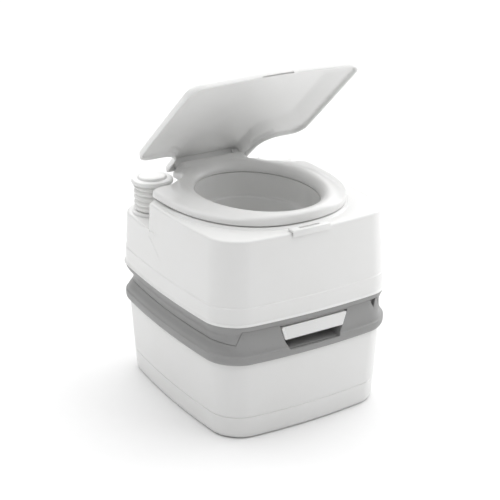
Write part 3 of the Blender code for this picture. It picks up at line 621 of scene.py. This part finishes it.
def base_ring():
    """Grey foot of the flush unit: a waisted skirt over the band, and the pan that closes the tank."""
    hole = ellipse_beside(housing_outline(6), 61, 61, OUTLET_Y)
    rings = [cover_ring(*row) for row in interpolated(RING_ROWS, 2)]
    rings += [at_height(housing_outline(4.8), 222.2), at_height(housing_outline(5.8), 217)]
    rings += [at_height(hole, 217), at_height(hole, 214)]
    rings += [cover_ring(*row) for row in RING_INSIDE]
    ring = solid("upper_band", skinned(rings, loop=True))

    cut(ring, prism("panel_notch", panel_outline(PANEL_GAP), "Y", -230, -160))
    cut(ring, block("spout_notch", (POCKET[0] - 3, POCKET[2], 180), (POCKET[1] + 3, 230, 206)))
    left, right = LATCH_X
    join(ring, block("latch_walls", (left - 5, 188, 204), (right + 5, 212.5, 221.8)))
    cut(ring, block("latch_recess", (left - 1, 205.2, 180), (right + 1, 230, 219)))
    cut(ring, block("keeper_notch", (left - 1, 195, 180), (right + 1, 230, 199)))
    cut(ring, prism("pin_bore", circle(*LATCH_AXIS, 1.9, 24), "X", left - 8, right + 8))
    soften(ring, 0.6, 2, 48)
    return ring


# The skin's right half is a front run and a rear run of points, parted at SPLIT_Y
FRONT_STEPS = 120
REAR_STEPS = 96
SPLIT_Y = 46.0

# Upper housing: (height, inset), with a bevelled lip at its foot and a step line above it
TAPER_ROWS = (
    (222.6, 0.6), (222.8, 0.15), (223.1, 0), (223.7, 0.2), (224.6, 1.1), (225.6, 2.1), (226.4, 2.6),
    (229, 2.7), (240, 2.75), (254.4, 2.8), (255, 2.9), (256, 3.8), (256.8, 4.1), (270, 4.5), (300, 5.8),
    (330, 7.2), (374, 9.7))
WALL_ROWS = (222.6, 222.8, 223.1, 223.7, 224.6, 225.6, 226.4, 229, 234, 240, 248, 254.4, 255, 256, 256.8)
LEDGE_ROWS = (318, 319.5, 321, 323, 325, 327.5, 330, 333, 337)
TOP_ROUND_Z = 369.8
TOP_ROUND = 4.2
LEDGE_ROUND = 6.0
LEDGE_FILLET = 5.0
DRAFT = 1.6
QUARTER_TURN = tuple(math.radians(a) for a in (0, 30, 60, 90))
RISER_WIDTH = 4.6
GUTTER_Z = 371.4
RISER_Z = 375.7
BOWL_MARGIN = 4.5
# (distance outside the seat's plan, height, share of the way to the bowl at the rear)
RISER_ROWS = ((4.1, 371.7, 0.10), (2.0, 375.1, 0.14), (1.2, 375.6, 0.18), (-4.0, RISER_Z, 0.30))


def taper(z):
    """Inset of the upper housing at a height."""
    for (z0, t0), (z1, t1) in zip(TAPER_ROWS, TAPER_ROWS[1:]):
        if z <= z1:
            return t0 + (t1 - t0) * (z - z0) / (z1 - z0)
    return TAPER_ROWS[-1][1]


def outer_parts(z):
    """Front and rear runs of the outer wall's right half at a height."""
    inset = taper(z)
    front, rear = split_at(housing_half(inset, inset, 32, 22), SPLIT_Y)
    return spaced(front, FRONT_STEPS), spaced(rear, REAR_STEPS)


def raised_rear(z, draft):
    """Run of the step wall's right half: round the deck's rear corner and the island."""
    inset = taper(z)
    front, rear = split_at(housing_half(inset, inset, 32, 22), SPLIT_Y)
    before, after = split_at(rear, 54.0)
    start, corner = front[-1], before[-1]
    line = rounded_line([
        (*start, 0), (*corner, 7), (152 - draft, 80 - draft, 18), (78 - draft, 80 - draft, 34),
        (74 - draft, 150 - draft, 9), (0, 150 - draft, 0)], 14)
    return spaced(line, REAR_STEPS)


def upper_half(z, draft):
    """Right half at a height above the ledge: outer wall at the front, step wall at the rear."""
    front = outer_parts(z)[0]
    return front[:-1] + raised_rear(z, draft)


def seat_half():
    """Right half of the seat's plan, with its wide front, round corners and rear neck."""
    wide, front, middle, power, steps = 167.0, 217.0, 40.0, 2.3, 90
    half = []
    for i in range(steps):
        angle = math.pi / 2 * i / steps
        half.append((wide * math.sin(angle) ** (2 / power), middle - front * math.cos(angle) ** (2 / power)))
    rear = rounded_line([(wide, 41, 0), (wide, 83, 22), (85, 83, 34), (83, 149, 4), (0, 149, 0)], 14)
    return half + rear


def seat_parts():
    """The seat's right half with as many points as the skin's right half."""
    front, rear = split_at(seat_half(), SPLIT_Y)
    return spaced(front, FRONT_STEPS)[:-1] + spaced(rear, REAR_STEPS)


def side_groove(side):
    """Tapered cutter for the slanted crease that fades out on a side wall."""
    points = []
    for share in (-0.04, 0.0, 0.1, 0.25, 0.4, 0.55, 0.7, 0.85, 1.0, 1.1):
        y = 50 - 66 * share - 6 * math.sin(math.pi * max(share, 0.0))
        z = 311 - 54 * share
        inset = taper(z)
        half_x = BODY_WIDTH / 2 - inset
        x = half_x * (1 - SIDE_BOW / half_x * (y / (BODY_DEPTH / 2 - inset)) ** 2)
        points.append((side * (x + 0.75 + 1.3 * smoothstep(0.25, 1.05, share)), y, z))
    return swept("crease", interpolated(points, 4), 1.5, steps=12)


def ledge_runs():
    """Rear runs over the ledge: round its outer edge, across it and up its fillet to the step wall."""
    outer = outer_parts(322)[1]
    wall = raised_rear(326, 0.0)
    widths = [math.dist(o, w) for o, w in zip(outer, wall)]
    normals = []
    for i in range(len(wall)):
        behind, ahead = wall[max(i - 1, 0)], wall[min(i + 1, len(wall) - 1)]
        along = Vector((ahead[0] - behind[0], ahead[1] - behind[1])).normalized()
        normals.append((along.y, -along.x))
    runs = []
    for angle in QUARTER_TURN:
        run = []
        for o, w, width in zip(outer, wall, widths):
            radius = min(LEDGE_ROUND, 0.3 * width)
            share = radius * (1 - math.cos(angle)) / width if width > 1e-6 else 0.0
            run.append((*lerp(o, w, share), LEDGE_Z - radius + radius * math.sin(angle)))
        runs.append(run)
    runs.append([(*lerp(o, w, 0.62), LEDGE_Z) for o, w in zip(outer, wall)])
    for angle in QUARTER_TURN:
        run = []
        for (x, y), (normal_x, normal_y), width in zip(wall, normals, widths):
            radius = min(LEDGE_FILLET, 0.3 * width)
            out = radius * (1 - math.sin(angle))
            run.append((x + normal_x * out, y + normal_y * out, LEDGE_Z + radius * (1 - math.cos(angle))))
        runs.append(run)
    return runs


def wall_halves():
    """Right halves from the lip at the foot to the round edge of the deck."""
    halves = []
    for z in WALL_ROWS + tuple(260 + 4 * i for i in range(14)):
        front, rear = outer_parts(z)
        halves.append(at_height(front[:-1] + rear, z))
    for z, run in zip(LEDGE_ROWS, ledge_runs()):
        front = outer_parts(z)[0]
        half = []
        for i, (x, y) in enumerate(front[:-1]):
            half.append((x, y, z + (LEDGE_Z - z) * smoothstep(FRONT_STEPS - 26, FRONT_STEPS, i)))
        halves.append(half + run)
    halves.append(at_height(upper_half(350, 0.55 * DRAFT), 350))
    halves.append(at_height(upper_half(369.5, DRAFT), 369.5))
    top = upper_half(TOP_ROUND_Z, DRAFT)
    for step in range(1, 6):
        angle = math.pi / 2 * step / 5
        ring = offset_half(top, TOP_ROUND * (1 - math.cos(angle)))
        halves.append(at_height(ring, TOP_ROUND_Z + TOP_ROUND * math.sin(angle)))
    return halves


def deck_halves(edge):
    """Right halves from the deck's edge over a gutter and a low riser, which follow the seat, to the bowl."""
    seat = seat_parts()
    count = len(seat)
    opening = ellipse_beside(seat, BOWL_HALF_X + BOWL_MARGIN, BOWL_HALF_Y + BOWL_MARGIN, BOWL_Y)
    keep = [1 - smoothstep(FRONT_STEPS - 34, FRONT_STEPS - 6, i) for i in range(count)]
    gutter = offset_half(seat, -RISER_WIDTH)

    def over_plain(points, plain_share):
        """Fade the points into the plain deck at the rear."""
        plain = [(*lerp(edge[i], opening[i], plain_share), DECK_Z) for i in range(count)]
        return [lerp(plain[i], points[i], keep[i]) for i in range(count)]

    halves = []
    for n, share in enumerate((0.3, 0.55, 0.8, 1.0)):
        dipping = []
        for i in range(count):
            room = math.dist(edge[i], gutter[i])
            dip = smoothstep(0, 1, share) if room < 14 else smoothstep(1 - 14 / room, 1, share)
            dipping.append((*lerp(edge[i], gutter[i], share), DECK_Z - (DECK_Z - GUTTER_Z) * dip))
        halves.append(over_plain(dipping, 0.02 * (n + 1)))
    for outset, z, share in RISER_ROWS:
        halves.append(over_plain(at_height(offset_half(seat, -outset), z), share))
    last = halves[-1]
    for share in (0.5, 0.8, 1.0):
        z = RISER_Z + (DECK_Z - RISER_Z) * smoothstep(0, 0.6, share)
        ring = []
        for point, hole in zip(last, opening):
            ring.append((*lerp(point[:2], hole, share), min(z, max(point[2], DECK_Z))))
        halves.append(ring)
    halves.append(at_height(opening, 370.5))
    return halves


def flush_tank_shell():
    """One smooth skin: outer wall, ledge, step wall and deck down to the bowl opening."""
    halves = wall_halves()
    halves += deck_halves([(x, y) for x, y, _ in halves[-1]])
    shell = solid("flush_tank_outer", skinned([whole(half) for half in halves], capped=False))
    thicken(shell, 2.6)
    for side in (-1, 1):
        cut(shell, side_groove(side))
    return shell


# (height, share of the rim's half width, share of its half depth), with a ledge near z 330
BOWL_ROWS = (
    (376, 1, 1), (373, 1, 1), (360, 0.998, 0.998), (345, 0.994, 0.994), (336, 0.991, 0.991),
    (333, 0.988, 0.988), (331.4, 0.981, 0.983), (330.4, 0.968, 0.972), (329.6, 0.952, 0.958),
    (328.2, 0.942, 0.95), (326, 0.936, 0.945), (320, 0.93, 0.938), (305, 0.905, 0.912), (290, 0.87, 0.875),
    (270, 0.81, 0.81), (255, 0.75, 0.74), (243, 0.69, 0.66), (232, 0.61, 0.56), (224, 0.53, 0.47),
    (217, 0.47, 0.40), (211, 0.43, 0.345), (206, 0.417, 0.327), (200.4, 0.413, 0.322))
# (height, distance outside the rim)
RIM_ROWS = ((374.4, WALL), (374.4, 9), (375.6, 9.4), (376.2, 8.8), (376.4, 7.5), (376.4, 1.6), (376.3, 0.6))


def bowl():
    """Oval bowl with a ledge ring that runs down to the round outlet."""
    plan = circle(0, BOWL_Y, 120, 128)

    def oval(z, share_x, share_y, extra):
        """Oval in proportion to the rim, whose centre drifts to the outlet's as it goes down."""
        depth = min((375.0 - z) / 175.0, 1.0)
        centre = BOWL_Y + (OUTLET_Y - BOWL_Y) * max(depth, 0.0)
        ring = ellipse_beside(plan, BOWL_HALF_X * share_x + extra, BOWL_HALF_Y * share_y + extra, centre)
        return at_height(ring, z)

    foot_z, foot_x, foot_y = BOWL_ROWS[-1]
    foot = ((foot_z, 10), (foot_z + WALL, 10), (foot_z + WALL, WALL))
    inside = [oval(z, share_x, share_y, 0) for z, share_x, share_y in BOWL_ROWS]
    flange = [oval(z, foot_x, foot_y, extra) for z, extra in foot]
    outside = [oval(z, share_x, share_y, WALL) for z, share_x, share_y in reversed(BOWL_ROWS[1:-2])]
    rim = [oval(z, 1.0, 1.0, extra) for z, extra in RIM_ROWS]
    basin = solid("bowl_skin", skinned(inside + flange + outside + rim, loop=True))
    cut(basin, prism("nozzle_bore", circle(BOWL_Y, 357, 5.2, 32), "X", -130, -90))
    return basin


def bellows_profile():
    """Five soft ribs between the collar and the cap."""
    ribs, steps, radius, swell, thickness = 5, 60, 31.0, 3.9, 2.0
    outer = []
    for i in range(steps + 1):
        wave = 0.5 - 0.5 * math.cos(2 * math.pi * ribs * i / steps)
        outer.append((radius + swell * wave ** 0.7, BELLOWS_Z[0] + (BELLOWS_Z[1] - BELLOWS_Z[0]) * i / steps))
    return outer + [(r - thickness, z) for r, z in reversed(outer)]


def vent_coil():
    """Three turns of wire under the vent button."""
    turns, steps, radius, margin = 3, 20, 5.8, 0.4
    low, high = VENT_COIL_Z[0] + margin, VENT_COIL_Z[1] - margin
    last = turns * steps
    path = []
    for i in range(last + 1):
        angle = 2 * math.pi * i / steps
        path.append((VENT[0] + radius * math.cos(angle), VENT[1] + radius * math.sin(angle),
                     low + (high - low) * i / last))
    return swept("vent_coil", path, 0.35, steps=10)


def catch_pad():
    """Pad over the front edge of the deck, with a slot for the catch."""
    side = [(-190, 374.4), (-190, 377), (-190.5, 378.1), (-191.5, 378.6), (-205.3, 378.6), (-206.4, 378.2),
            (-206.8, 377), (-206.8, 367), (-204.8, 367), (-204.8, 374.4)]
    pad = prism("catch_block", side, "X", CATCH_X - 38, CATCH_X + 38)
    cut(pad, block("slot", (CATCH_X - 20, -200.2, 375.4), (CATCH_X + 20, -194.4, 380)))
    soften(pad, 0.7, 2, 40)
    return pad


# ---------------------------------------------------------------- hinge, seat and lid

def barrel(start, end):
    """Arc of a hinge knuckle seen from the side, in degrees."""
    return circle(HINGE_Y, HINGE_Z, KNUCKLE_RADIUS, 28, start, end)


def cut_pin_bore(item):
    """Bore through every knuckle on the hinge's line."""
    cut(item, prism("bore", circle(HINGE_Y, HINGE_Z, PIN_BORE_RADIUS, 32), "X", -80, 80))


def hinge_bracket(name, side):
    """Lug on the deck that carries one hinge pin."""
    outline = [(130, 374.35), (149, 374.35), (158, 383.2)] + barrel(-90, 110) + [(149, 391), (130, 379)]
    bracket = prism(name, outline, "X", *mirrored(BRACKET_X, side))
    cut_pin_bore(bracket)
    soften(bracket, 0.6, 2, 50)
    return bracket


SEAT_PLATE_Z = 389.5
SEAT_CREST_Z = 397.0
SEAT_HUMP = 15.0
SEAT_EDGE_RADIUS = 6.5
SEAT_HOLE_RADIUS = 12.0
SEAT_SHARES = tuple(
    [0.0, 0.004, 0.012, 0.022, 0.036, 0.054, 0.076, 0.1] + [0.13 + 0.03 * i for i in range(20)]
    + [0.73, 0.76, 0.79, 0.82, 0.85, 0.88, 0.905, 0.93, 0.95, 0.966, 0.979, 0.989, 0.996, 1.0])


def rounded_drop(drop, radius, distance):
    """How far a surface falls at a distance from its edge, where the edge is rounded."""
    return drop * (1 - math.sqrt(max(0.0, 1 - max(0.0, 1 - distance / radius) ** 2)))


def seat_form(name):
    """Oval ring with a crest round the hole, on a flatter plate that reaches back to the hinge."""
    edge = whole(seat_parts())
    hole = ellipse_beside(edge, 105, 135, BOWL_Y)

    def surface(share):
        """Ring of points a share of the way from the hole to the edge, denser near the hole."""
        ring = []
        for (edge_x, edge_y), (hole_x, hole_y) in zip(edge, hole):
            width = math.dist((edge_x, edge_y), (hole_x, hole_y))
            near = min(46.0, 0.72 * width)
            from_hole = near * share / 0.7 if share < 0.7 else near + (width - near) * (share - 0.7) / 0.3
            x = hole_x + (edge_x - hole_x) * from_hole / width
            y = hole_y + (edge_y - hole_y) * from_hole / width
            hump = SEAT_HUMP * smoothstep(112, 149, y) * (1 - smoothstep(62, 82.5, abs(x)))
            plate = SEAT_PLATE_Z + hump
            gap = SEAT_CREST_Z - 0.018 * (from_hole - 20) ** 2 - plate
            z = plate + 0.5 * (gap + math.sqrt(gap * gap + 5.0))
            z -= rounded_drop(6.0, SEAT_EDGE_RADIUS, width - from_hole)
            z -= rounded_drop(8.5, SEAT_HOLE_RADIUS, from_hole)
            ring.append((x, y, z))
        return ring

    rings = [at_height(whole(offset_half(seat_parts(), 1.2)), 377.6), at_height(edge, 378.6)]
    rings += [surface(share) for share in reversed(SEAT_SHARES)]
    rings += [at_height(hole, 380.0), at_height(ellipse_beside(edge, 106, 136, BOWL_Y), 377.6)]
    return solid(name, skinned(rings, loop=True))


def seat_ring():
    """The seat with its two knuckles and room for the brackets."""
    ring = seat_form("seat_top")
    arm = [(140, 379), (154, 380.5)] + barrel(-100, 100) + [(148, 391.5), (140, 391.5)]
    for side in (-1, 1):
        join(ring, prism("knuckle", arm, "X", *mirrored(SEAT_KNUCKLE_X, side)))
        low, high = mirrored((BRACKET_X[0] - 1.5, SEAT_KNUCKLE_X[0] + 0.8), side)
        cut(ring, block("bracket_space", (low, 125, 370), (high, 152, 391.8)))
    cut_pin_bore(ring)
    return ring


# Points on each straight run and arc of the lid's half plan
LID_STEPS = (30, 18, 44, 14, 12, 16, 12, 8, 12)
LID_FRONT_BOW = 9.0
LID_RIM_Z = 386.0
# Walls are (inset, rise over the rim), slopes (share of the way to the flat panel, rise) and crowns (share of
# the way from the panel to its middle, rise)
LID_OUTER_WALL = (
    (1.0, 0.0), (0.3, 0.35), (0.0, 1.1), (0.05, 3.0), (0.35, 5.4), (0.9, 7.8), (1.7, 9.8), (2.9, 11.6),
    (4.6, 13.2), (7.0, 14.6))
LID_OUTER_SLOPE = ((0.12, 16.4), (0.3, 18.9), (0.5, 21.6), (0.7, 24.0), (0.86, 25.5), (1.0, 26.4))
LID_OUTER_CROWN = ((0.12, 27.0), (0.3, 27.5), (0.55, 27.8), (0.8, 27.95), (0.97, 28.0))
LID_INNER_WALL = (
    (2.0, 0.0), (3.2, 0.3), (3.9, 1.0), (4.3, 2.2), (4.5, 4.0), (4.9, 5.8), (5.8, 7.2), (7.6, 8.2))
LID_INNER_SLOPE = (
    (0.12, 9.8), (0.25, 11.6), (0.4, 13.9), (0.55, 16.3), (0.7, 18.7), (0.82, 20.6), (0.9, 21.65),
    (0.96, 22.3), (1.0, 22.6))
LID_INNER_CROWN = ((0.0, 23.0), (0.1, 23.6), (0.3, 24.2), (0.55, 24.6), (0.8, 24.8), (0.97, 24.9))


def anchored(corners):
    """Even points on each run and arc of an open (x, y, radius) line, so that plans match point for point."""
    runs = []
    last = corners[0][:2]
    for before, (x, y, radius), after in zip(corners, corners[1:], corners[2:]):
        arc = rounded_line([before, (x, y, radius), after], 24)[1:-1]
        runs.append([last, arc[0]])
        runs.append(arc)
        last = arc[-1]
    runs.append([last, corners[-1][:2]])
    points = []
    for run, count in zip(runs, LID_STEPS):
        points += spaced(run, count)[:-1]
    return points + [tuple(corners[-1][:2])]


def bowed_front(points):
    """Set the front edge back towards its corners."""
    return [(x, y + LID_FRONT_BOW * (x / 172) ** 2 * smoothstep(-60, -180, y)) for x, y in points]


def lid_half(inset):
    """Right half of the lid's plan, moved inwards with its corner radii."""
    i = inset
    return bowed_front(anchored([
        (0, -188 + i, 0), (172 - i, -185 + i, max(32 - i, 3)), (179 - i, 88 - i, max(26 - i, 3)),
        (90 - i, 88 - i, 36 + i), (88.5 - i, 168 - i, max(8 - i, 2)), (0, 168 - i, 0)]))


def lid_panel(inset):
    """Right half of the flat panel inside the vault."""
    i = inset
    return bowed_front(anchored([
        (0, -146 + i, 0), (126 - i, -142 + i, 30), (132 - i, 46 - i, 40), (66 - i, 46 - i, 34),
        (62 - i, 160 - i, 5), (0, 160 - i, 0)]))


def lid_centre(share):
    """The panel drawn in to a point in its middle."""
    middle_y = -30
    return [(x * (1 - share), middle_y + (y - middle_y) * (1 - share)) for x, y in lid_panel(6)]


def lid_skin(wall, slope, crown):
    """Rings from the rim over one side of the lid to its middle."""
    rings = [at_height(whole(lid_half(inset)), LID_RIM_Z + rise) for inset, rise in wall]
    start, panel = lid_half(wall[-1][0]), lid_panel(0)
    for share, rise in slope:
        half = [lerp(a, b, share) for a, b in zip(start, panel)]
        rings.append(at_height(whole(half), LID_RIM_Z + rise))
    rings += [at_height(whole(lid_centre(share)), LID_RIM_Z + rise) for share, rise in crown]
    return rings


def lid():
    """Vaulted lid over the closed seat, with its front slot, knuckles and room for the seat."""
    outside = lid_skin(LID_OUTER_WALL, LID_OUTER_SLOPE, LID_OUTER_CROWN)
    inside = lid_skin(LID_INNER_WALL, LID_INNER_SLOPE, LID_INNER_CROWN)
    dish = solid("lid_vault", skinned(list(reversed(outside)) + inside))
    cut(dish, block("front_slot", (-40, -195, 386.8), (22, -184.3, 389.3)))
    knuckle = barrel(-200, 20) + [(165, 404), (155, 404)]
    for side in (-1, 1):
        low, high = mirrored((BRACKET_X[0] - 3, SEAT_KNUCKLE_X[1] + 0.3), side)
        cut(dish, block("bracket_space", (low, 150, 380), (high, 175, 397)))
        join(dish, prism("knuckle", knuckle, "X", *mirrored(LID_KNUCKLE_X, side)))
    room = seat_form("seat_room")
    grow(room, 1.0)
    cut(dish, room)
    cut_pin_bore(dish)
    return dish


def opened(item):
    """Turn a piece made over the closed seat to the lid's rest angle."""
    about = Vector((0, HINGE_Y, HINGE_Z)) * MM
    turn = Matrix.Translation(about) @ Matrix.Rotation(math.radians(-LID_OPEN_DEG), 4, 'X')
    item.data.transform(turn @ Matrix.Translation(-about))
    return item


# ---------------------------------------------------------------- assembly

# Profiles to turn: (radius, height), or (radius, distance along X) for the spout's cap
COLLAR_PROFILE = (
    (22.5, 330), (34, 330), (36, 329.8), (37.4, 329), (38, 327.6), (38, 324.4), (26.2, 324.4), (26.2, 302),
    (4.2, 302), (4.2, 305), (22.5, 305))
PUMP_HEAD_PROFILE = (
    (1, 382), (37.2, 382), (38.3, 382.6), (38.7, 383.8), (38.7, 386.2), (38.2, 388.0), (36.8, 389.3),
    (34.6, 389.9), (29.5, 390.1), (27.6, 390.5), (26.6, 391.6), (26.2, 393.0), (25.2, 394.3), (22.6, 395.3),
    (18, 396.0), (12, 396.4), (5, 396.6), (1, 396.6))
THROAT_PROFILE = (
    (26, 352), (27.4, 352.6), (29, 352), (29, 328), (36, 328), (37.4, 327.4), (38, 326), (38, 324.4),
    (29.2, 324.4), (29.2, 314), (26, 314))
FILL_LID_PROFILE = (
    (1, 386.4), (8, 386.4), (16, 386.1), (24, 385.5), (28.5, 384.8), (31.2, 383.6), (32.6, 381.8),
    (33, 379.5), (33, 378), (33, 360), (33, 345), (33, 334), (33, 331), (32.6, 330.2), (31.8, 330),
    (29.8, 330), (29.8, 355.8), (24, 355.8), (24, 380), (1, 380))
FILL_LID_FLUTES = (36, 0.9, 332, 379, 30)
SPOUT_CAP_PROFILE = (
    (1, 98.4), (13.5, 98.4), (13.5, 84), (15.4, 84), (16, 84.8), (16, 101.8), (15.6, 103.2), (14.4, 104.2),
    (1, 104.2))
SPOUT_CAP_FLUTES = (36, 0.8, 85, 102, 15.9)
PUMP_AXIS = (*PUMP, 0)
FILLER_AXIS = (*FILLER, 0)
SPOUT_AXIS = (0, SPOUT[1], SPOUT[2])


def spout_path():
    """Up out of the tank, round a bend and along the pocket."""
    x, y, z = SPOUT
    bend, steps, tip_x = 16.0, 14, 97.0
    path = [(x, y, 160.0)]
    for i in range(steps + 1):
        angle = math.radians(90 * i / steps)
        path.append((x + bend - bend * math.cos(angle), y, z - bend + bend * math.sin(angle)))
    return path + [(tip_x, y, z)]


place(waste_tank_shell(), white, "waste_tank", "white_shell", "waste_tank_shell")
place(waste_tank_cover(), grey, "waste_tank", "grey_band", "waste_tank_cover")
place(valve_handle(), white, "valve", "white_shell", "valve_handle")
place(base_ring(), grey, "flush_unit", "grey_band", "base_ring")
place(flush_tank_shell(), white, "flush_unit", "white_shell", "flush_tank_shell")
coil = place(vent_coil(), steel, "waste_tank", "steel", "vent_spring")
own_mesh(coil)
place(bowl(), bowl_white, "flush_unit", "bowl_white", "bowl")

ribs = turned("pump_ribs", bellows_profile(), PUMP_AXIS, loop=True)
place(ribs, soft_white, "flush_unit", "white_bellows", "pump_bellows")
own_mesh(ribs)
pump_cup = turned("pump_cup", COLLAR_PROFILE, PUMP_AXIS, loop=True)
place(pump_cup, white, "flush_unit", "white_shell", "pump_collar")
place(turned("pump_head", PUMP_HEAD_PROFILE, PUMP_AXIS), white, "pump", "white_shell", "pump_cap")

fill_throat = turned("fill_throat", THROAT_PROFILE, FILLER_AXIS, loop=True)
place(fill_throat, soft_white, "flush_unit", "white_bellows", "fill_neck")
fill_lid = turned("fill_lid", FILL_LID_PROFILE, FILLER_AXIS, steps=288, flutes=FILL_LID_FLUTES)
place(fill_lid, white, "filler", "white_shell", "fill_cap")

place(catch_pad(), white, "flush_unit", "white_shell", "catch_pad")
for side, word in ((-1, "left"), (1, "right")):
    bracket = hinge_bracket("bracket_" + word, side)
    place(bracket, soft_white, "flush_unit", "white_shell", "hinge_bracket_" + word)
place(seat_ring(), seat_white, "seat", "white_shell", "seat_ring", crease=40)
place(opened(lid()), lid_white, "lid", "white_shell", "lid", crease=40)

spout_tube = swept("spout_tube", spout_path(), 13.0, 10.5)
place(spout_tube, inner_grey, "spout", "inner_grey", "pour_spout")
screw_cap = turned("spout_screw_cap", SPOUT_CAP_PROFILE, SPOUT_AXIS, steps=216, axis="X",
                   flutes=SPOUT_CAP_FLUTES)
place(screw_cap, inner_grey, "spout_end", "inner_grey", "spout_cap")


# ---------------------------------------------------------------- floor, light and camera

FLOOR_REACH = 120000.0
FLOOR_TONES = ((0.83, 0.83, 0.83), (0.84, 0.84, 0.84))
WORLD_STRENGTH = 0.19
CAMERA_AZIMUTH = math.radians(-31.54)
CAMERA_HEIGHT = math.radians(22.03)
CAMERA_DISTANCE = 2.3261
CAMERA_LENS = 93.68
CAMERA_TARGET = Vector((-0.0366, -0.0533, 0.2901))


def floor():
    """A wide pale studio floor."""
    mesh = bmesh.new()
    corners = ((-1, -1), (1, -1), (1, 1), (-1, 1))
    mesh.faces.new([mesh.verts.new((x * FLOOR_REACH, y * FLOOR_REACH, 0)) for x, y in corners])
    item = solid("studio_floor", mesh)
    material, nodes, links = new_material("floor_look")
    shader = nodes["Principled BSDF"]
    preset(shader, {"Roughness": 0.9, "Specular IOR Level": 0.1})
    links.new(two_tones(material, noise_fac(material, 40.0, 2.0), *FLOOR_TONES), shader.inputs["Base Color"])
    item.data.materials.append(material)


def hang(name, data, at, direction):
    """Put a light or a camera into the scene, pointing along a direction; both in metres."""
    item = bpy.data.objects.new(name, data)
    item.location = at
    item.rotation_euler = direction.to_track_quat('-Z', 'Y').to_euler()
    bpy.context.scene.collection.objects.link(item)
    return item


def softbox(name, at, aim, size, power):
    """A rectangular light that faces a point."""
    light = bpy.data.lights.new(name, 'AREA')
    light.shape = 'RECTANGLE'
    light.size, light.size_y = size
    light.energy = power
    hang(name, light, at, Vector(aim) - Vector(at))


def overhead(name, towards, angle, strength):
    """A very wide sun, which lights like a bright ceiling."""
    light = bpy.data.lights.new(name, 'SUN')
    light.angle = math.radians(angle)
    light.energy = strength
    hang(name, light, (0, 0, 0), -Vector(towards))


floor()
overhead("overhead_dome", (0.18, 0.30, 1.0), 105, 3.6)
softbox("left_softbox", (-2.4, 0.3, 0.9), (0, 0, 0.25), (1.8, 1.4), 5.5)
softbox("right_softbox", (2.3, -0.2, 1.1), (0, 0, 0.35), (1.6, 1.2), 15)
softbox("front_softbox", (1.6, -2.1, 1.9), (0, 0, 0.35), (1.5, 1.3), 13)
bpy.context.scene.view_settings.view_transform = 'Standard'

world = bpy.data.worlds.new("studio")
bpy.context.scene.world = world
world.use_nodes = True
preset(world.node_tree.nodes["Background"], {"Color": (1, 1, 1, 1), "Strength": WORLD_STRENGTH})

level = math.cos(CAMERA_HEIGHT)
back = Vector((math.sin(CAMERA_AZIMUTH) * level, -math.cos(CAMERA_AZIMUTH) * level, math.sin(CAMERA_HEIGHT)))
lens = bpy.data.cameras.new("camera")
lens.lens = CAMERA_LENS
lens.sensor_width = 36.0
lens.clip_end = 600.0
bpy.context.scene.camera = hang("camera", lens, CAMERA_TARGET + back * CAMERA_DISTANCE, -back)
